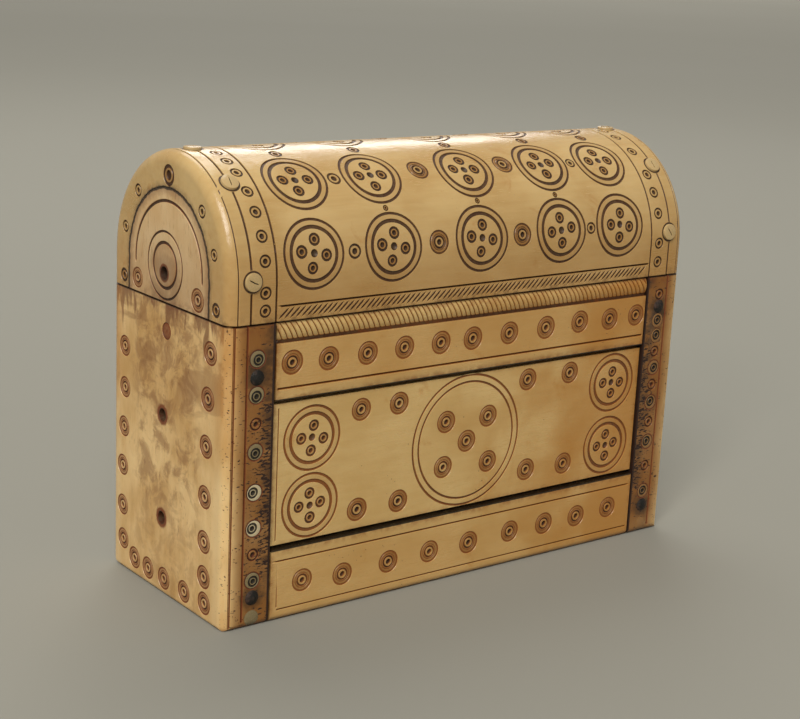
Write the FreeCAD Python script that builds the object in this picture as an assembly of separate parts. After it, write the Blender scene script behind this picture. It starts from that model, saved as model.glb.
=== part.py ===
import FreeCAD, Part
import math
import os

# Chrismatory: a small bone casket with a barrel lid, which holds three oil vessels.
# Millimetres. X runs along the length, the front faces -Y, +Z is up,
# and the origin is at the middle of the underside.

# Overall form
box_length = 101.2
box_depth = 38.6
base_height = 51.4
seam_gap = 0.25
lid_upright = 6.0

# End blocks: a channel in plan, whose two flanges lap over the ends of the boards
end_wall = 4.2
flange_width = 8.8
flange_thickness = 2.6
corner_radius = 2.2
end_foot_radius = 0.8
front_foot_radius = 1.2
back_foot_radius = 4.2

# Boards of the front and back
wall_thickness = 5.6
bottom_rail_height = 12.7
top_rail_height = 13.0
panel_recess = 0.5
shadow_gap = 0.7
shadow_depth = 1.6
end_clearance = 0.35
fit_clearance = 0.02
bead_height = 3.0
quirk_width = 0.45
quirk_depth = 0.5

# Floor board and dividers, let into grooves
floor_lift = 1.6
floor_thickness = 2.6
groove_depth = 1.2
groove_clearance = 0.05
field_clearance = 0.15
divider_thickness = 2.4
divider_height = 30.0
divider_groove = 0.8

# Lid
lid_wall = 6.1
lid_end_radius = 2.2
lid_end_thickness = 6.6
lid_joint_clearance = 0.1

# Bone pegs, driven through the flanges into the boards and through the lid into its ends
peg_radius = 1.35
peg_length = 4.2
peg_inset = 5.5
lid_peg_radius = 1.5
lid_peg_rise = 0.4
lid_peg_inset = 4.3
lid_peg_bite = 2.6
left_lid_peg_angles = (2.5, 53.0, 90.0, 127.0, 177.5)
right_lid_peg_angles = (6.5, 46.5, 90.0, 133.5, 173.5)
left_peg_places = {"bottom_rail": (0.13, 0.65), "middle_panel": (0.18, 0.42, 0.69), "top_rail": (0.12, 0.58)}
right_peg_places = {"bottom_rail": (0.13, 0.67), "middle_panel": (0.23, 0.54, 0.81), "top_rail": (0.11, 0.34)}

# Iron nails through the flanges, and those that hold the hinges
nail_places_left = {"bottom_rail": 0.41, "top_rail": 0.34}
nail_places_right = {"bottom_rail": 0.44, "top_rail": 0.55}
nail_radius = 0.6
nail_head_radius = 1.3
nail_head_height = 0.45
hinge_nail_radius = 0.5
hinge_nail_head_radius = 0.95
hinge_nail_head_height = 0.4
hinge_nail_length = 3.6

# Drilled holes in the end faces
end_hole_radius = 1.1
end_hole_depth = 2.6
end_hole_back_shift = 1.2
end_hole_heights = (13.8, 32.1)
lid_hole_rise = 4.8

# Hinges: two small iron strap hinges at the back
hinge_spacing = 52.0
hinge_width = 7.8
leaf_thickness = 0.8
knuckle_radius = 1.5
knuckle_stand_off = 0.2
knuckle_gap = 0.15
base_leaf_length = 11.0
strap_angle = 32.0
hinge_pin_radius = 0.6
pin_fixed_clearance = 0.02
pin_running_clearance = 0.06
pin_head_radius = 1.0
pin_head_length = 0.5
leaf_relief = 0.35

# Oil vessels and their stoppers
vessel_radius = 11.6
vessel_foot_radius = 9.8
vessel_wall = 1.2
vessel_shoulder_height = 26.0
vessel_height = 33.0
neck_radius = 5.0
bore_radius = 3.7
lip_radius = 6.0
lip_height = 1.4
seat_clearance = 0.05
stopper_clearance = 0.1
stopper_plug_length = 4.6
stopper_disc_radius = 5.8
stopper_disc_height = 1.2
knob_radius = 2.4
knob_height = 5.2

# Values worked out from the sizes above
half_length = box_length / 2
half_depth = box_depth / 2
lid_bottom = base_height + seam_gap
spring_height = lid_bottom + lid_upright
inner_half_depth = half_depth - wall_thickness
inner_half_length = half_length - end_wall
floor_top = floor_lift + floor_thickness
compartment_length = (2 * inner_half_length - 2 * divider_thickness) / 3
divider_centre = (compartment_length + divider_thickness) / 2
vessel_spacing = compartment_length + divider_thickness
hinge_axis_y = half_depth + knuckle_radius + knuckle_stand_off
hinge_axis_z = base_height + seam_gap / 2
board_spans = {
    "bottom_rail": (0.0, bottom_rail_height),
    "middle_panel": (bottom_rail_height, base_height - top_rail_height),
    "top_rail": (base_height - top_rail_height, base_height),
}


def vec(x, y, z):
    return FreeCAD.Vector(x, y, z)


def block(low, high):
    """A box from its lowest corner to its highest."""
    return Part.makeBox(high[0] - low[0], high[1] - low[1], high[2] - low[2], vec(*low))


def mirrored_x(shape):
    return shape.mirror(vec(0, 0, 0), vec(1, 0, 0))


def mirrored_y(shape):
    return shape.mirror(vec(0, 0, 0), vec(0, 1, 0))


def turned(profile, x):
    """A solid of revolution about an upright axis at x, from lines and arcs between (radius, height) points."""
    edges = []
    for start, middle, end in profile:
        first = vec(start[0], 0, start[1])
        last = vec(end[0], 0, end[1])
        if middle is None:
            edges.append(Part.LineSegment(first, last).toShape())
        else:
            edges.append(Part.Arc(first, vec(middle[0], 0, middle[1]), last).toShape())
    face = Part.Face(Part.Wire(edges))
    solid = face.revolve(vec(0, 0, 0), vec(0, 0, 1), 360)
    solid.translate(vec(x, 0, 0))
    return solid


def barrel_form(radius, bottom, start_x, length):
    """An upright-sided arch, pushed along X: the outer or inner form of the lid."""
    left_foot = vec(start_x, -radius, bottom)
    left_spring = vec(start_x, -radius, spring_height)
    crown = vec(start_x, 0, spring_height + radius)
    right_spring = vec(start_x, radius, spring_height)
    right_foot = vec(start_x, radius, bottom)
    wire = Part.Wire([
        Part.LineSegment(left_foot, left_spring).toShape(),
        Part.Arc(left_spring, crown, right_spring).toShape(),
        Part.LineSegment(right_spring, right_foot).toShape(),
        Part.LineSegment(right_foot, left_foot).toShape(),
    ])
    return Part.Face(wire).extrude(vec(length, 0, 0))


def edges_where(shape, test):
    """The edges whose two ends both pass a test, for a fillet."""
    return [e for e in shape.Edges if len(e.Vertexes) == 2 and all(test(v.Point) for v in e.Vertexes)]


def near(a, b):
    return abs(a - b) < 1e-5


def cut_all(shape, tools):
    return shape.cut(Part.makeCompound(tools)) if tools else shape


# Waste and grooves shared by the pieces that they run through
def foot_waste(side, radius, reach, length):
    """What is rounded off a lower edge that runs along X at y = side * reach."""
    start = -length / 2
    corner = vec(start, side * (reach + 1), -1)
    turn = math.sqrt(0.5)
    centre_y = side * (reach - radius)
    wire = Part.Wire([
        Part.LineSegment(vec(start, centre_y, 0), vec(start, centre_y, -1)).toShape(),
        Part.LineSegment(vec(start, centre_y, -1), corner).toShape(),
        Part.LineSegment(corner, vec(start, side * (reach + 1), radius)).toShape(),
        Part.LineSegment(vec(start, side * (reach + 1), radius), vec(start, side * reach, radius)).toShape(),
        Part.Arc(vec(start, side * reach, radius),
                 vec(start, centre_y + side * radius * turn, radius - radius * turn),
                 vec(start, centre_y, 0)).toShape(),
    ])
    return Part.Face(wire).extrude(vec(length, 0, 0))


foot_wastes = [foot_waste(side, radius, half_depth, box_length + 2)
               for side, radius in ((-1, front_foot_radius), (1, back_foot_radius))]
end_foot_waste = foot_waste(-1, end_foot_radius, half_length, 2 * half_depth + 2)
end_foot_waste.rotate(vec(0, 0, 0), vec(0, 0, 1), -90)


def floor_slab(clearance):
    reach_x = inner_half_length + groove_depth
    reach_y = inner_half_depth + groove_depth
    low = (-reach_x - clearance, -reach_y - clearance, floor_lift)
    return block(low, (reach_x + clearance, reach_y + clearance, floor_top + clearance))


def floor_board():
    """The floor: its edges run in the grooves, and its middle is left thick, flush with the underside."""
    reach_x = inner_half_length - field_clearance
    reach_y = inner_half_depth - field_clearance
    field = block((-reach_x, -reach_y, 0), (reach_x, reach_y, floor_lift))
    return floor_slab(0.0).fuse(field).removeSplitter()


def divider_slab(clearance, top):
    reach_y = inner_half_depth + divider_groove + clearance
    half = divider_thickness / 2 + clearance
    return block((-half, -reach_y, floor_top), (half, reach_y, top))


# Pegs and nails of the walls, as (x, z) places on the front
def wall_places(places, side):
    x = side * (half_length - peg_inset)
    spots = []
    for board, shares in places.items():
        low, high = board_spans[board]
        for share in shares if isinstance(shares, tuple) else (shares,):
            spots.append((x, low + share * (high - low)))
    return spots


def wall_pin(x, z, radius, length):
    return Part.makeCylinder(radius, length, vec(x, -half_depth, z), vec(0, 1, 0))


def front_and_back(solids):
    return solids + [mirrored_y(s) for s in solids]


def wall_pegs(places, side):
    """The pegs of one end, cut off flush with the rounded lower edges."""
    pins = front_and_back([wall_pin(x, z, peg_radius, peg_length) for x, z in wall_places(places, side)])
    return [cut_all(pin, foot_wastes) for pin in pins]


left_wall_pegs = wall_pegs(left_peg_places, -1)
right_wall_pegs = wall_pegs(right_peg_places, 1)
nail_spots = wall_places(nail_places_left, -1) + wall_places(nail_places_right, 1)


def nail(radius, length, head_radius, head_height, skin):
    """A nail along +Y, whose domed head stands out of the plane y = 0 by skin and its own height."""
    dome_radius = (head_radius ** 2 + head_height ** 2) / (2 * head_height)
    dome_centre = skin + head_height - dome_radius
    half_turn = math.asin(head_radius / dome_radius) / 2
    dome_middle = (dome_radius * math.sin(half_turn), dome_centre + dome_radius * math.cos(half_turn))
    pin = turned([
        ((0, -length), None, (radius, -length)),
        ((radius, -length), None, (radius, skin)),
        ((radius, skin), None, (head_radius, skin)),
        ((head_radius, skin), dome_middle, (0, skin + head_height)),
        ((0, skin + head_height), None, (0, -length)),
    ], 0)
    pin.rotate(vec(0, 0, 0), vec(1, 0, 0), 90)
    return pin


def placed(shape, x, y, z):
    moved = shape.copy()
    moved.translate(vec(x, y, z))
    return moved


wall_nail = nail(nail_radius, peg_length, nail_head_radius, nail_head_height, 0.0)
iron_nails = front_and_back([placed(wall_nail, x, -half_depth, z) for x, z in nail_spots])

# Holes that the pegs and nails of the walls fill
wall_holes = []
for spot_x, spot_z in wall_places(left_peg_places, -1) + wall_places(right_peg_places, 1):
    wall_holes.append(wall_pin(spot_x, spot_z, peg_radius + fit_clearance, peg_length))
for spot_x, spot_z in nail_spots:
    wall_holes.append(wall_pin(spot_x, spot_z, nail_radius + fit_clearance, peg_length))
wall_holes = front_and_back(wall_holes)


# End blocks
def end_block():
    """The left one: end wall and two flanges from one thick slab, corners and foot rounded."""
    slab = block((-half_length, -half_depth, 0), (-half_length + flange_width, half_depth, base_height))
    upright = edges_where(slab, lambda p: near(p.x, -half_length))
    upright = [e for e in upright if not near(e.Vertexes[0].Z, e.Vertexes[1].Z)]
    slab = slab.makeFillet(corner_radius, upright)
    hollow = block((-half_length + end_wall, -half_depth + flange_thickness, -1),
                   (-half_length + flange_width + 1, half_depth - flange_thickness, base_height + 1))
    holes = [Part.makeCylinder(end_hole_radius, end_hole_depth, vec(-half_length, end_hole_back_shift, z), vec(1, 0, 0))
             for z in end_hole_heights]
    return cut_all(slab, [hollow, floor_slab(groove_clearance), end_foot_waste] + holes + foot_wastes)


left_block = end_block()
right_block = mirrored_x(left_block)
left_end_block = cut_all(left_block, wall_holes)
right_end_block = cut_all(right_block, wall_holes)


# Boards of the front; the back ones are their mirror images
def board(low, high, face_shift):
    """A thin face between the flanges and a tongue behind it that runs on to the end walls."""
    face_reach = half_length - flange_width - end_clearance
    face = block((-face_reach, -half_depth + face_shift, low),
                 (face_reach, -half_depth + flange_thickness + fit_clearance, high))
    tongue_reach = inner_half_length
    tongue = block((-tongue_reach, -half_depth + flange_thickness + fit_clearance, low),
                   (tongue_reach, -inner_half_depth, high))
    return face.fuse(tongue).removeSplitter()


def fitted(shape):
    """Cuts the floor groove, the divider grooves and the peg holes that reach this board."""
    grooves = [placed(divider_slab(groove_clearance, base_height + 1), side * divider_centre, 0, 0) for side in (-1, 1)]
    return cut_all(shape, [floor_slab(groove_clearance)] + grooves + wall_holes)


def bottom_rail():
    low, high = board_spans["bottom_rail"]
    return board(low, high, 0.0)


def middle_panel():
    low, high = board_spans["middle_panel"]
    panel = board(low, high, panel_recess)
    reach = half_length - flange_width
    front = -half_depth - 1
    shadow_back = -half_depth + panel_recess + shadow_depth
    rebates = [block((-reach, front, low - 1), (reach, shadow_back, low + shadow_gap)),
               block((-reach, front, high - shadow_gap), (reach, shadow_back, high + 1))]
    return cut_all(panel, rebates)


def top_rail():
    """A plain rail, whose upper edge is worked into a shallow bead above a quirk."""
    low, high = board_spans["top_rail"]
    rail = board(low, high, 0.0)
    reach = half_length - flange_width - end_clearance
    quirk_top = high - bead_height
    quirk_bottom = quirk_top - quirk_width
    front = -half_depth
    sunk = front + quirk_depth
    outside = front - 1
    waste = Part.Wire([
        Part.LineSegment(vec(-reach, outside, quirk_bottom), vec(-reach, sunk, quirk_bottom)).toShape(),
        Part.LineSegment(vec(-reach, sunk, quirk_bottom), vec(-reach, sunk, quirk_top)).toShape(),
        Part.Arc(vec(-reach, sunk, quirk_top), vec(-reach, front, (quirk_top + high) / 2),
                 vec(-reach, sunk, high)).toShape(),
        Part.LineSegment(vec(-reach, sunk, high), vec(-reach, outside, high)).toShape(),
        Part.LineSegment(vec(-reach, outside, high), vec(-reach, outside, quirk_bottom)).toShape(),
    ])
    return rail.cut(Part.Face(waste).extrude(vec(2 * reach, 0, 0)))


# Lid
def lid_pin(angle, radius, length, side):
    """A round pin square to the barrel's surface, left a little proud of it, at an angle from the front."""
    turn = math.radians(angle)
    out = vec(0, -math.cos(turn), math.sin(turn))
    foot = vec(side * (half_length - lid_peg_inset), 0, spring_height) + out * (half_depth - length)
    return Part.makeCylinder(radius, length + lid_peg_rise, foot, out)


def lid_pegs(side, radius):
    angles = left_lid_peg_angles if side < 0 else right_lid_peg_angles
    return [lid_pin(angle, radius, lid_wall + lid_peg_bite, side) for angle in angles]


def lid_shell():
    """The barrel in one piece, with its two ends rounded over."""
    outer = barrel_form(half_depth, lid_bottom, -half_length, box_length)
    rims = [e for e in outer.Edges if near(e.BoundBox.XLength, 0) and not near(e.BoundBox.ZLength, 0)]
    outer = outer.makeFillet(lid_end_radius, rims)
    inner = barrel_form(half_depth - lid_wall, lid_bottom - 1, -half_length - 1, box_length + 2)
    return outer.cut(inner)


def lid_end(side):
    """A D-shaped block let into the barrel's end, with its drilled hole."""
    start = -half_length if side < 0 else half_length - lid_end_thickness
    plug = barrel_form(half_depth - lid_wall - lid_joint_clearance, lid_bottom, start, lid_end_thickness)
    hole = Part.makeCylinder(end_hole_radius, end_hole_depth,
                             vec(side * half_length, end_hole_back_shift, lid_bottom + lid_hole_rise),
                             vec(-side, 0, 0))
    return cut_all(plug, [hole] + lid_pegs(side, lid_peg_radius + fit_clearance))


# Hinges
def knuckle(span, bore):
    """A rolled eye round the pin, over a stretch of X about the hinge's middle."""
    start = vec(span[0], hinge_axis_y, hinge_axis_z)
    length = span[1] - span[0]
    return Part.makeCylinder(knuckle_radius, length, start, vec(1, 0, 0)), \
        Part.makeCylinder(bore, length, start, vec(1, 0, 0))


outer_spans = ((-hinge_width / 2, -hinge_width / 6 - knuckle_gap), (hinge_width / 6 + knuckle_gap, hinge_width / 2))
inner_spans = ((-hinge_width / 6, hinge_width / 6),)


def base_leaf():
    top = hinge_axis_z - knuckle_radius - leaf_relief
    bottom = base_height - base_leaf_length
    leaf = block((-hinge_width / 2, half_depth, bottom), (hinge_width / 2, half_depth + leaf_thickness, top))
    corners = [e for e in leaf.Edges if near(e.BoundBox.YLength, leaf_thickness) and near(e.Vertexes[0].Z, bottom)]
    leaf = leaf.makeFillet(hinge_width * 0.3, corners)
    bores = []
    for span in outer_spans:
        eye, bore = knuckle(span, hinge_pin_radius + pin_fixed_clearance)
        neck = block((span[0], half_depth, top), (span[1], half_depth + leaf_thickness, hinge_axis_z))
        leaf = leaf.fuse([eye, neck])
        bores.append(bore)
    return cut_all(leaf, bores + base_leaf_nails(hinge_nail_radius + fit_clearance)).removeSplitter()


def lid_strap():
    """The lid's leaf: an upright foot, then a tail bent over the barrel."""
    bottom = hinge_axis_z + knuckle_radius + leaf_relief
    inner = half_depth
    outer = half_depth + leaf_thickness

    def on_barrel(radius, angle):
        turn = math.radians(angle)
        return vec(-hinge_width / 2, radius * math.cos(turn), spring_height + radius * math.sin(turn))

    inner_foot = vec(-hinge_width / 2, inner, bottom)
    outer_foot = vec(-hinge_width / 2, outer, bottom)
    wire = Part.Wire([
        Part.LineSegment(inner_foot, on_barrel(inner, 0)).toShape(),
        Part.Arc(on_barrel(inner, 0), on_barrel(inner, strap_angle / 2), on_barrel(inner, strap_angle)).toShape(),
        Part.LineSegment(on_barrel(inner, strap_angle), on_barrel(outer, strap_angle)).toShape(),
        Part.Arc(on_barrel(outer, strap_angle), on_barrel(outer, strap_angle / 2), on_barrel(outer, 0)).toShape(),
        Part.LineSegment(on_barrel(outer, 0), outer_foot).toShape(),
        Part.LineSegment(outer_foot, inner_foot).toShape(),
    ])
    strap = Part.Face(wire).extrude(vec(hinge_width, 0, 0))
    bores = []
    for span in inner_spans:
        eye, bore = knuckle(span, hinge_pin_radius + pin_running_clearance)
        neck = block((span[0], half_depth, hinge_axis_z), (span[1], half_depth + leaf_thickness, bottom))
        strap = strap.fuse([eye, neck])
        bores.append(bore)
    return cut_all(strap, bores + strap_nails(hinge_nail_radius + fit_clearance)).removeSplitter()


def hinge_nail(radius):
    if radius > hinge_nail_radius:
        length = hinge_nail_length + leaf_thickness
        return Part.makeCylinder(radius, length, vec(0, -leaf_thickness, 0), vec(0, 1, 0))
    return nail(radius, hinge_nail_length, hinge_nail_head_radius, hinge_nail_head_height, leaf_thickness)


def base_leaf_nails(radius):
    """Two nails below the base knuckles, driven in from the back."""
    leaf_top = hinge_axis_z - knuckle_radius - leaf_relief
    leaf_bottom = base_height - base_leaf_length
    nails = []
    for share in (0.25, 0.72):
        pin = hinge_nail(radius)
        pin.rotate(vec(0, 0, 0), vec(0, 0, 1), 180)
        pin.translate(vec(0, half_depth, leaf_bottom + share * (leaf_top - leaf_bottom)))
        nails.append(pin)
    return nails


def strap_nails(radius):
    """Two nails square to the barrel, at the strap's tail and near the spring of the arch."""
    nails = []
    for share in (0.22, 0.82):
        pin = hinge_nail(radius)
        pin.rotate(vec(0, 0, 0), vec(0, 0, 1), 180)
        pin.translate(vec(0, half_depth, 0))
        pin.rotate(vec(0, 0, 0), vec(1, 0, 0), share * strap_angle)
        pin.translate(vec(0, 0, spring_height))
        nails.append(pin)
    return nails


def hinge_pin():
    """The pin with its two burred heads."""
    start = vec(-hinge_width / 2, hinge_axis_y, hinge_axis_z)
    shaft = Part.makeCylinder(hinge_pin_radius, hinge_width, start, vec(1, 0, 0))
    left = Part.makeCone(pin_head_radius * 0.7, pin_head_radius, pin_head_length,
                         start - vec(pin_head_length, 0, 0), vec(1, 0, 0))
    right = Part.makeCone(pin_head_radius, pin_head_radius * 0.7, pin_head_length,
                          start + vec(hinge_width, 0, 0), vec(1, 0, 0))
    return shaft.fuse([left, right]).removeSplitter()


# Oil vessels
def vessel(x):
    """A turned pot: foot, swelling side, rounded shoulder, neck and lip, hollow to a bored neck."""
    bottom = floor_top + seat_clearance
    shoulder = bottom + vessel_shoulder_height
    top = bottom + vessel_height
    inner_radius = vessel_radius - vessel_wall
    rise = vessel_radius - neck_radius
    inner_rise = inner_radius - bore_radius
    drop = min(rise, top - lip_height - shoulder - 0.6)
    bend = math.sqrt(0.5)
    outline = [
        ((0, bottom), None, (vessel_foot_radius, bottom)),
        ((vessel_foot_radius, bottom), None, (vessel_foot_radius, bottom + 1.4)),
        ((vessel_foot_radius, bottom + 1.4), None, (vessel_radius, bottom + 4.0)),
        ((vessel_radius, bottom + 4.0), None, (vessel_radius, shoulder)),
        ((vessel_radius, shoulder), None, (neck_radius + rise * 0.28, shoulder + drop * 0.72)),
        ((neck_radius + rise * 0.28, shoulder + drop * 0.72), None, (neck_radius, shoulder + drop)),
        ((neck_radius, shoulder + drop), None, (neck_radius, top - lip_height)),
        ((neck_radius, top - lip_height), None, (lip_radius, top - lip_height * 0.6)),
        ((lip_radius, top - lip_height * 0.6), None, (lip_radius, top)),
        ((lip_radius, top), None, (bore_radius, top)),
        ((bore_radius, top), None, (bore_radius, shoulder + drop - vessel_wall * bend)),
        ((bore_radius, shoulder + drop - vessel_wall * bend), None,
         (bore_radius + inner_rise * 0.28, shoulder + drop * 0.72 - vessel_wall)),
        ((bore_radius + inner_rise * 0.28, shoulder + drop * 0.72 - vessel_wall), None,
         (inner_radius, shoulder - vessel_wall * bend)),
        ((inner_radius, shoulder - vessel_wall * bend), None, (inner_radius, bottom + 4.0 + vessel_wall)),
        ((inner_radius, bottom + 4.0 + vessel_wall), None,
         (vessel_foot_radius - vessel_wall, bottom + 1.4 + vessel_wall)),
        ((vessel_foot_radius - vessel_wall, bottom + 1.4 + vessel_wall), None, (0, bottom + 1.4 + vessel_wall)),
        ((0, bottom + 1.4 + vessel_wall), None, (0, bottom)),
    ]
    return turned(outline, x)


def stopper(x):
    """A tapering plug, the disc that seats on the lip, and a turned knob."""
    lip = floor_top + seat_clearance + vessel_height + seat_clearance
    disc_top = lip + stopper_disc_height
    plug_radius = bore_radius - stopper_clearance
    stem = knob_radius * 0.5
    knob_foot = disc_top + knob_height - 2 * knob_radius
    knob_middle = disc_top + knob_height - knob_radius
    knob_join = knob_middle - math.sqrt(knob_radius ** 2 - stem ** 2)
    outline = [
        ((0, lip - stopper_plug_length), None, (plug_radius * 0.9, lip - stopper_plug_length)),
        ((plug_radius * 0.9, lip - stopper_plug_length), None, (plug_radius, lip)),
        ((plug_radius, lip), None, (stopper_disc_radius, lip)),
        ((stopper_disc_radius, lip), None, (stopper_disc_radius, disc_top - stopper_disc_height * 0.3)),
        ((stopper_disc_radius, disc_top - stopper_disc_height * 0.3), None, (stem, disc_top)),
        ((stem, disc_top), None, (stem, max(knob_join, knob_foot))),
        ((stem, max(knob_join, knob_foot)), (knob_radius, knob_middle), (0, knob_middle + knob_radius)),
        ((0, knob_middle + knob_radius), None, (0, lip - stopper_plug_length)),
    ]
    return turned(outline, x)


# The pieces, each under the name of its node
nodes = {}


def add(name, solids):
    nodes[name] = solids if isinstance(solids, list) else [solids]


add("left_end_block", left_end_block)
add("right_end_block", right_end_block)
boards = {"bottom_rail": fitted(bottom_rail()), "middle_panel": fitted(middle_panel()), "top_rail": fitted(top_rail())}
for board_name, board_shape in boards.items():
    add("front_" + board_name, cut_all(board_shape, foot_wastes) if board_name == "bottom_rail" else board_shape)
hinge_places = (-hinge_spacing / 2, hinge_spacing / 2)
hinge_holes = [placed(hole, x, 0, 0) for x in hinge_places
               for hole in base_leaf_nails(hinge_nail_radius + fit_clearance)]
strap_holes = [placed(hole, x, 0, 0) for x in hinge_places
               for hole in strap_nails(hinge_nail_radius + fit_clearance)]
for board_name, board_shape in boards.items():
    back_cuts = {"bottom_rail": foot_wastes, "middle_panel": [], "top_rail": hinge_holes}[board_name]
    add("back_" + board_name, cut_all(mirrored_y(board_shape), back_cuts))
add("floor_board", floor_board())
for side_name, side in (("left", -1), ("right", 1)):
    add(side_name + "_divider", placed(divider_slab(0.0, floor_top + divider_height), side * divider_centre, 0, 0))

lid_peg_hole = lid_peg_radius + fit_clearance
barrel_holes = strap_holes + lid_pegs(-1, lid_peg_hole) + lid_pegs(1, lid_peg_hole)
add("lid_barrel", cut_all(lid_shell(), barrel_holes))
add("lid_left_end", lid_end(-1))
add("lid_right_end", lid_end(1))
add("left_wall_pegs", left_wall_pegs)
add("right_wall_pegs", right_wall_pegs)
add("iron_nails", iron_nails)
add("lid_left_pegs", lid_pegs(-1, lid_peg_radius))
add("lid_right_pegs", lid_pegs(1, lid_peg_radius))

for side_name, x in zip(("left", "right"), hinge_places):
    add(side_name + "_hinge_leaf", placed(base_leaf(), x, 0, 0))
    add(side_name + "_hinge_strap", placed(lid_strap(), x, 0, 0))
    add(side_name + "_hinge_pin", placed(hinge_pin(), x, 0, 0))
add("hinge_leaf_nails", [placed(pin, x, 0, 0) for x in hinge_places for pin in base_leaf_nails(hinge_nail_radius)])
add("hinge_strap_nails", [placed(pin, x, 0, 0) for x in hinge_places for pin in strap_nails(hinge_nail_radius)])

for vessel_name, place in (("left", -1), ("middle", 0), ("right", 1)):
    add(vessel_name + "_vessel", vessel(place * vessel_spacing))
    add(vessel_name + "_stopper", stopper(place * vessel_spacing))

os.makedirs("parts", exist_ok=True)
total = 0.0
for name, solids in nodes.items():
    shape = solids[0] if len(solids) == 1 else Part.makeCompound(solids)
    shape.exportStep("parts/" + name + ".step")
    total += shape.Volume
    print(name, len(shape.Solids), "solids", round(shape.Volume, 1), "mm3", "valid", shape.isValid())
print("pieces", len(nodes), "volume", round(total / 1000, 2), "cm3")
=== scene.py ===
import math
import random
import bmesh
import bpy
from mathutils import Matrix, Vector


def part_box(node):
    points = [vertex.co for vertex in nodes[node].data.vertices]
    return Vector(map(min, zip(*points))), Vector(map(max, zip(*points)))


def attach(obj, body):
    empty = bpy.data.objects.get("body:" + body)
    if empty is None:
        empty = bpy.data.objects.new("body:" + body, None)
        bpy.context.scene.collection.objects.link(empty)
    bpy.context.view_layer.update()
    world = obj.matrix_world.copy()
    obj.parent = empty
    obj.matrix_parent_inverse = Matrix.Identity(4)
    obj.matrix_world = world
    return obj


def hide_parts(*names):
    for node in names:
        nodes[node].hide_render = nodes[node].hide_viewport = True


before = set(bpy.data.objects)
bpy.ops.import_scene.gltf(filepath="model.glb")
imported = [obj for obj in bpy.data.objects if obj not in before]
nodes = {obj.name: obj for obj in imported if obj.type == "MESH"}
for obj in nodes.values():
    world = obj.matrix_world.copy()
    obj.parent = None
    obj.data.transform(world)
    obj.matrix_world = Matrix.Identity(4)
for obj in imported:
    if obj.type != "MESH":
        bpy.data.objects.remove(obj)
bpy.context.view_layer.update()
chance = random.Random(7)
print("frame loaded,", len(nodes), "nodes")

# Measures of the casket in millimetres, read from the frame so that the ornament follows it
blockLow, blockHigh = (Vector(c) * 1000 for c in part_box("left_end_block"))
barrelLow, barrelHigh = (Vector(c) * 1000 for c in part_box("lid_barrel"))
casket = {
    "halfLength": -blockLow.x,
    "halfDepth": blockHigh.y,
    "flangeInner": -blockHigh.x,          # where the boards begin
    "baseTop": blockHigh.z,
    "lidBottom": barrelLow.z,
    "spring": barrelHigh.z - blockHigh.y,  # height where the barrel's arch starts
    "cornerRadius": 2.2,
}


unbounded = 1000                      # a height or place beyond everything on the casket


# A carved face: ornament is stamped on a flat sheet, the rest is filled, and the sheet is bent back
def grooveRings(radius, width, depth, inside=0.0, outside=0.0, pigment=1.0, crisp=0.06):
    half = width / 2
    return [(radius + half, 0.0, 0.0, outside), (radius + half - crisp, depth * 0.8, pigment, outside),
            (radius, depth, pigment, inside), (radius - half + crisp, depth * 0.8, pigment, inside),
            (radius - half, 0.0, 0.0, inside)]


# Radius, depth, pigment and tan tone of each ring-and-dot, from the rim to the middle
marks = {
    "small": {"segments": 14, "rings": [
        (1.1, 0.0, 0.0, 0.0), (1.02, 0.15, 1.0, 0.4), (0.72, 0.15, 1.0, 0.8), (0.64, 0.02, 0.1, 0.9),
        (0.46, 0.02, 0.1, 0.9), (0.38, 0.3, 1.0, 0.6), (0.0, 0.45, 1.0, 0.6)]},
    "centre": {"segments": 12, "rings": [
        (0.72, 0.0, 0.0, 0.0), (0.62, 0.16, 1.0, 0.0), (0.3, 0.36, 1.0, 0.0), (0.0, 0.42, 1.0, 0.0)]},
    "double": {"segments": 18, "rings": [
        (1.34, 0.0, 0.0, 0.0), (1.24, 0.18, 1.0, 0.0), (0.98, 0.18, 1.0, 0.0), (0.88, 0.02, 0.0, 0.3),
        (0.58, 0.02, 0.0, 0.3), (0.48, 0.32, 1.0, 0.3), (0.0, 0.5, 1.0, 0.3)]},
    "ring": {"segments": 18, "rings": [
        (1.22, 0.0, 0.0, 0.0), (1.14, 0.16, 1.0, 0.0), (0.82, 0.16, 1.0, 0.0), (0.72, 0.03, 0.3, 0.2),
        (0.56, 0.03, 0.3, 0.2), (0.46, 0.3, 1.0, 0.2), (0.0, 0.45, 1.0, 0.2)]},
    "triple": {"segments": 26, "rings": [
        (2.16, 0.0, 0.0, 0.0), (2.08, 0.12, 0.6, 1.0), (1.84, 0.12, 0.5, 1.0), (1.76, 0.05, 0.25, 1.0),
        (1.5, 0.05, 0.3, 1.0), (1.42, 0.12, 0.6, 1.0), (1.34, 0.06, 0.35, 1.0), (1.16, 0.06, 0.4, 1.0),
        (1.08, 0.18, 1.0, 1.0), (0.88, 0.18, 1.0, 0.8), (0.8, 0.0, 0.0, 0.4), (0.54, 0.0, 0.0, 0.4),
        (0.45, 0.34, 1.0, 1.0), (0.0, 0.6, 1.0, 1.0)]},
    "eye": {"segments": 26, "rings": [
        (1.72, 0.0, 0.0, 0.0), (1.62, 0.18, 1.0, 0.7), (1.2, 0.18, 0.8, 1.0), (1.1, 0.03, 0.2, 1.0),
        (0.82, 0.03, 0.2, 1.0), (0.72, 0.3, 1.0, 1.0), (0.0, 0.55, 1.0, 1.0)]},
    "plug": {"segments": 22, "rings": [
        (1.5, 0.0, 0.0, 0.0), (1.42, 0.14, 1.0, 1.0), (1.3, 0.1, 0.7, 1.0), (1.2, 0.05, 0.5, 1.0),
        (0.5, 0.07, 0.45, 1.0), (0.0, 0.12, 0.6, 1.0)]},
}


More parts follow.
